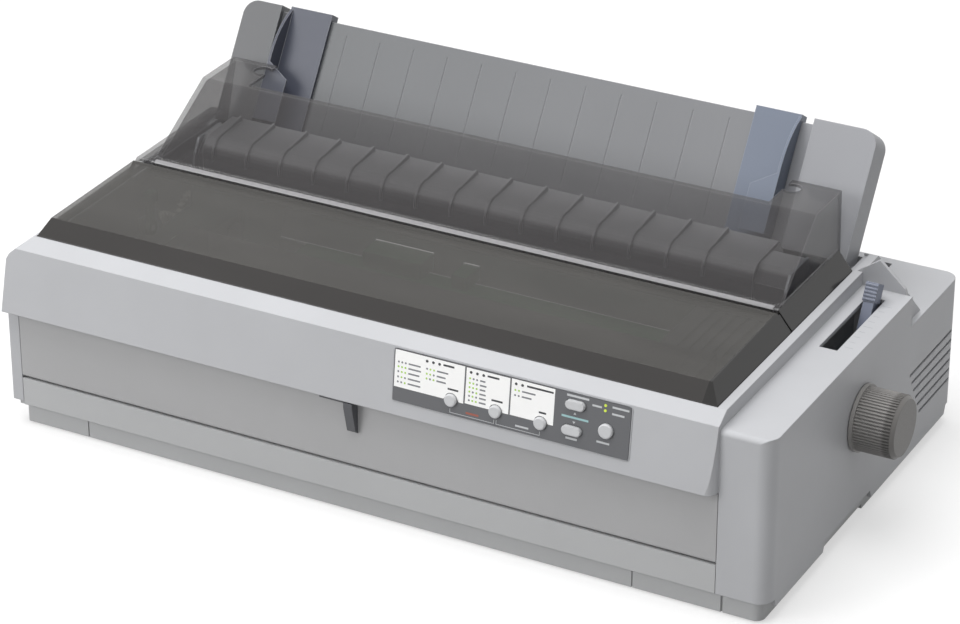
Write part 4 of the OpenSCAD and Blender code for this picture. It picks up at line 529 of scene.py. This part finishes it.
# Studio paper: matt and white to the eye, with the object's shadow on it, and duller to the bounced light.
floorSet = {"size": 8.0, "seen": "#ffffff", "bounce": "#a2a2a2", "whiteShare": 0.55}
floorMat, tree, coord = newMaterial("Studio paper, white")
fibre = addNode(tree, "ShaderNodeTexNoise", {"Scale": 30.0}, {"Vector": coord})
rough = addNode(tree, "ShaderNodeMapRange", {"To Min": 0.85, "To Max": 0.95}, {"Value": fibre.outputs["Fac"]})
dullPaper, seenPaper = [
    addNode(tree, "ShaderNodeBsdfPrincipled",
            {"Base Color": linear(floorSet[key]), "Specular IOR Level": 0.1}, {"Roughness": rough.outputs[0]})
    for key in ("bounce", "seen")]
blank = addNode(tree, "ShaderNodeEmission", {"Color": (1, 1, 1, 1), "Strength": 1.0})
whitened = addNode(tree, "ShaderNodeMixShader", {0: floorSet["whiteShare"]},
                   {1: seenPaper.outputs[0], 2: blank.outputs[0]})
paper = addNode(tree, "ShaderNodeMixShader",
                links={0: whiteRays(tree), 1: dullPaper.outputs[0], 2: whitened.outputs[0]})
finishMaterial(tree, paper)
bm = bmesh.new()
bmesh.ops.create_grid(bm, x_segments=2, y_segments=2, size=floorSet["size"] / 2)
floorMesh = bpy.data.meshes.new("floor")
bm.to_mesh(floorMesh)
bm.free()
floorMesh.materials.append(floorMat)
floor = bpy.data.objects.new("floor", floorMesh)
bpy.context.scene.collection.objects.link(floor)

# a soft grey fill on the object, plain white where the background is seen
worldSet = {"fill": 0.34, "seen": 1.0}
world = bpy.data.worlds.new("studio")
bpy.context.scene.world = world
world.use_nodes = True
tree = world.node_tree
tree.nodes.clear()
fill, white = [addNode(tree, "ShaderNodeBackground", {"Color": (1, 1, 1, 1), "Strength": worldSet[key]})
               for key in ("fill", "seen")]
both = addNode(tree, "ShaderNodeMixShader",
               links={0: whiteRays(tree), 1: fill.outputs[0], 2: white.outputs[0]})
addNode(tree, "ShaderNodeOutputWorld", links={"Surface": both.outputs[0]})

# the big overhead lamp isn't mirrored: it would grey the hood over
lampSet = {
    "overhead": {"at": (-0.2, -0.3, 2.6), "aim": (0, 0, 0.1), "size": (2.6, 2.0), "watts": 72.0,
                 "mirrored": False},
    "frontLeft": {"at": (-1.9, -2.6, 1.5), "aim": (0, 0, 0.1), "size": (1.8, 1.8), "watts": 51.0,
                  "mirrored": True},
}
for lampName, lamp in lampSet.items():
    light = bpy.data.lights.new(lampName, "AREA")
    light.shape = "RECTANGLE"
    light.size, light.size_y = lamp["size"]
    light.energy = lamp["watts"]
    lampObject = bpy.data.objects.new(lampName, light)
    lampObject.location = lamp["at"]
    toward = Vector(lamp["aim"]) - Vector(lamp["at"])
    lampObject.rotation_euler = toward.to_track_quat("-Z", "Y").to_euler()
    lampObject.visible_glossy = lamp["mirrored"]
    bpy.context.scene.collection.objects.link(lampObject)

cameraSet = {"at": (1.0924, -2.0690, 1.3085), "azimuth": 28.2, "elevation": 27.4,
             "lens": 136.5, "sensor": 36.0, "clipEnd": 50}
camera = bpy.data.cameras.new("camera")
camera.lens = cameraSet["lens"]
camera.sensor_width = cameraSet["sensor"]
camera.clip_end = cameraSet["clipEnd"]
cameraObject = bpy.data.objects.new("camera", camera)
cameraObject.location = cameraSet["at"]
cameraObject.rotation_euler = (math.radians(90 - cameraSet["elevation"]), 0,
                               math.radians(cameraSet["azimuth"]))
bpy.context.scene.collection.objects.link(cameraObject)
bpy.context.scene.camera = cameraObject
bpy.context.scene.view_settings.view_transform = "Standard"
print("floor, light and camera set")

print("scene finished")
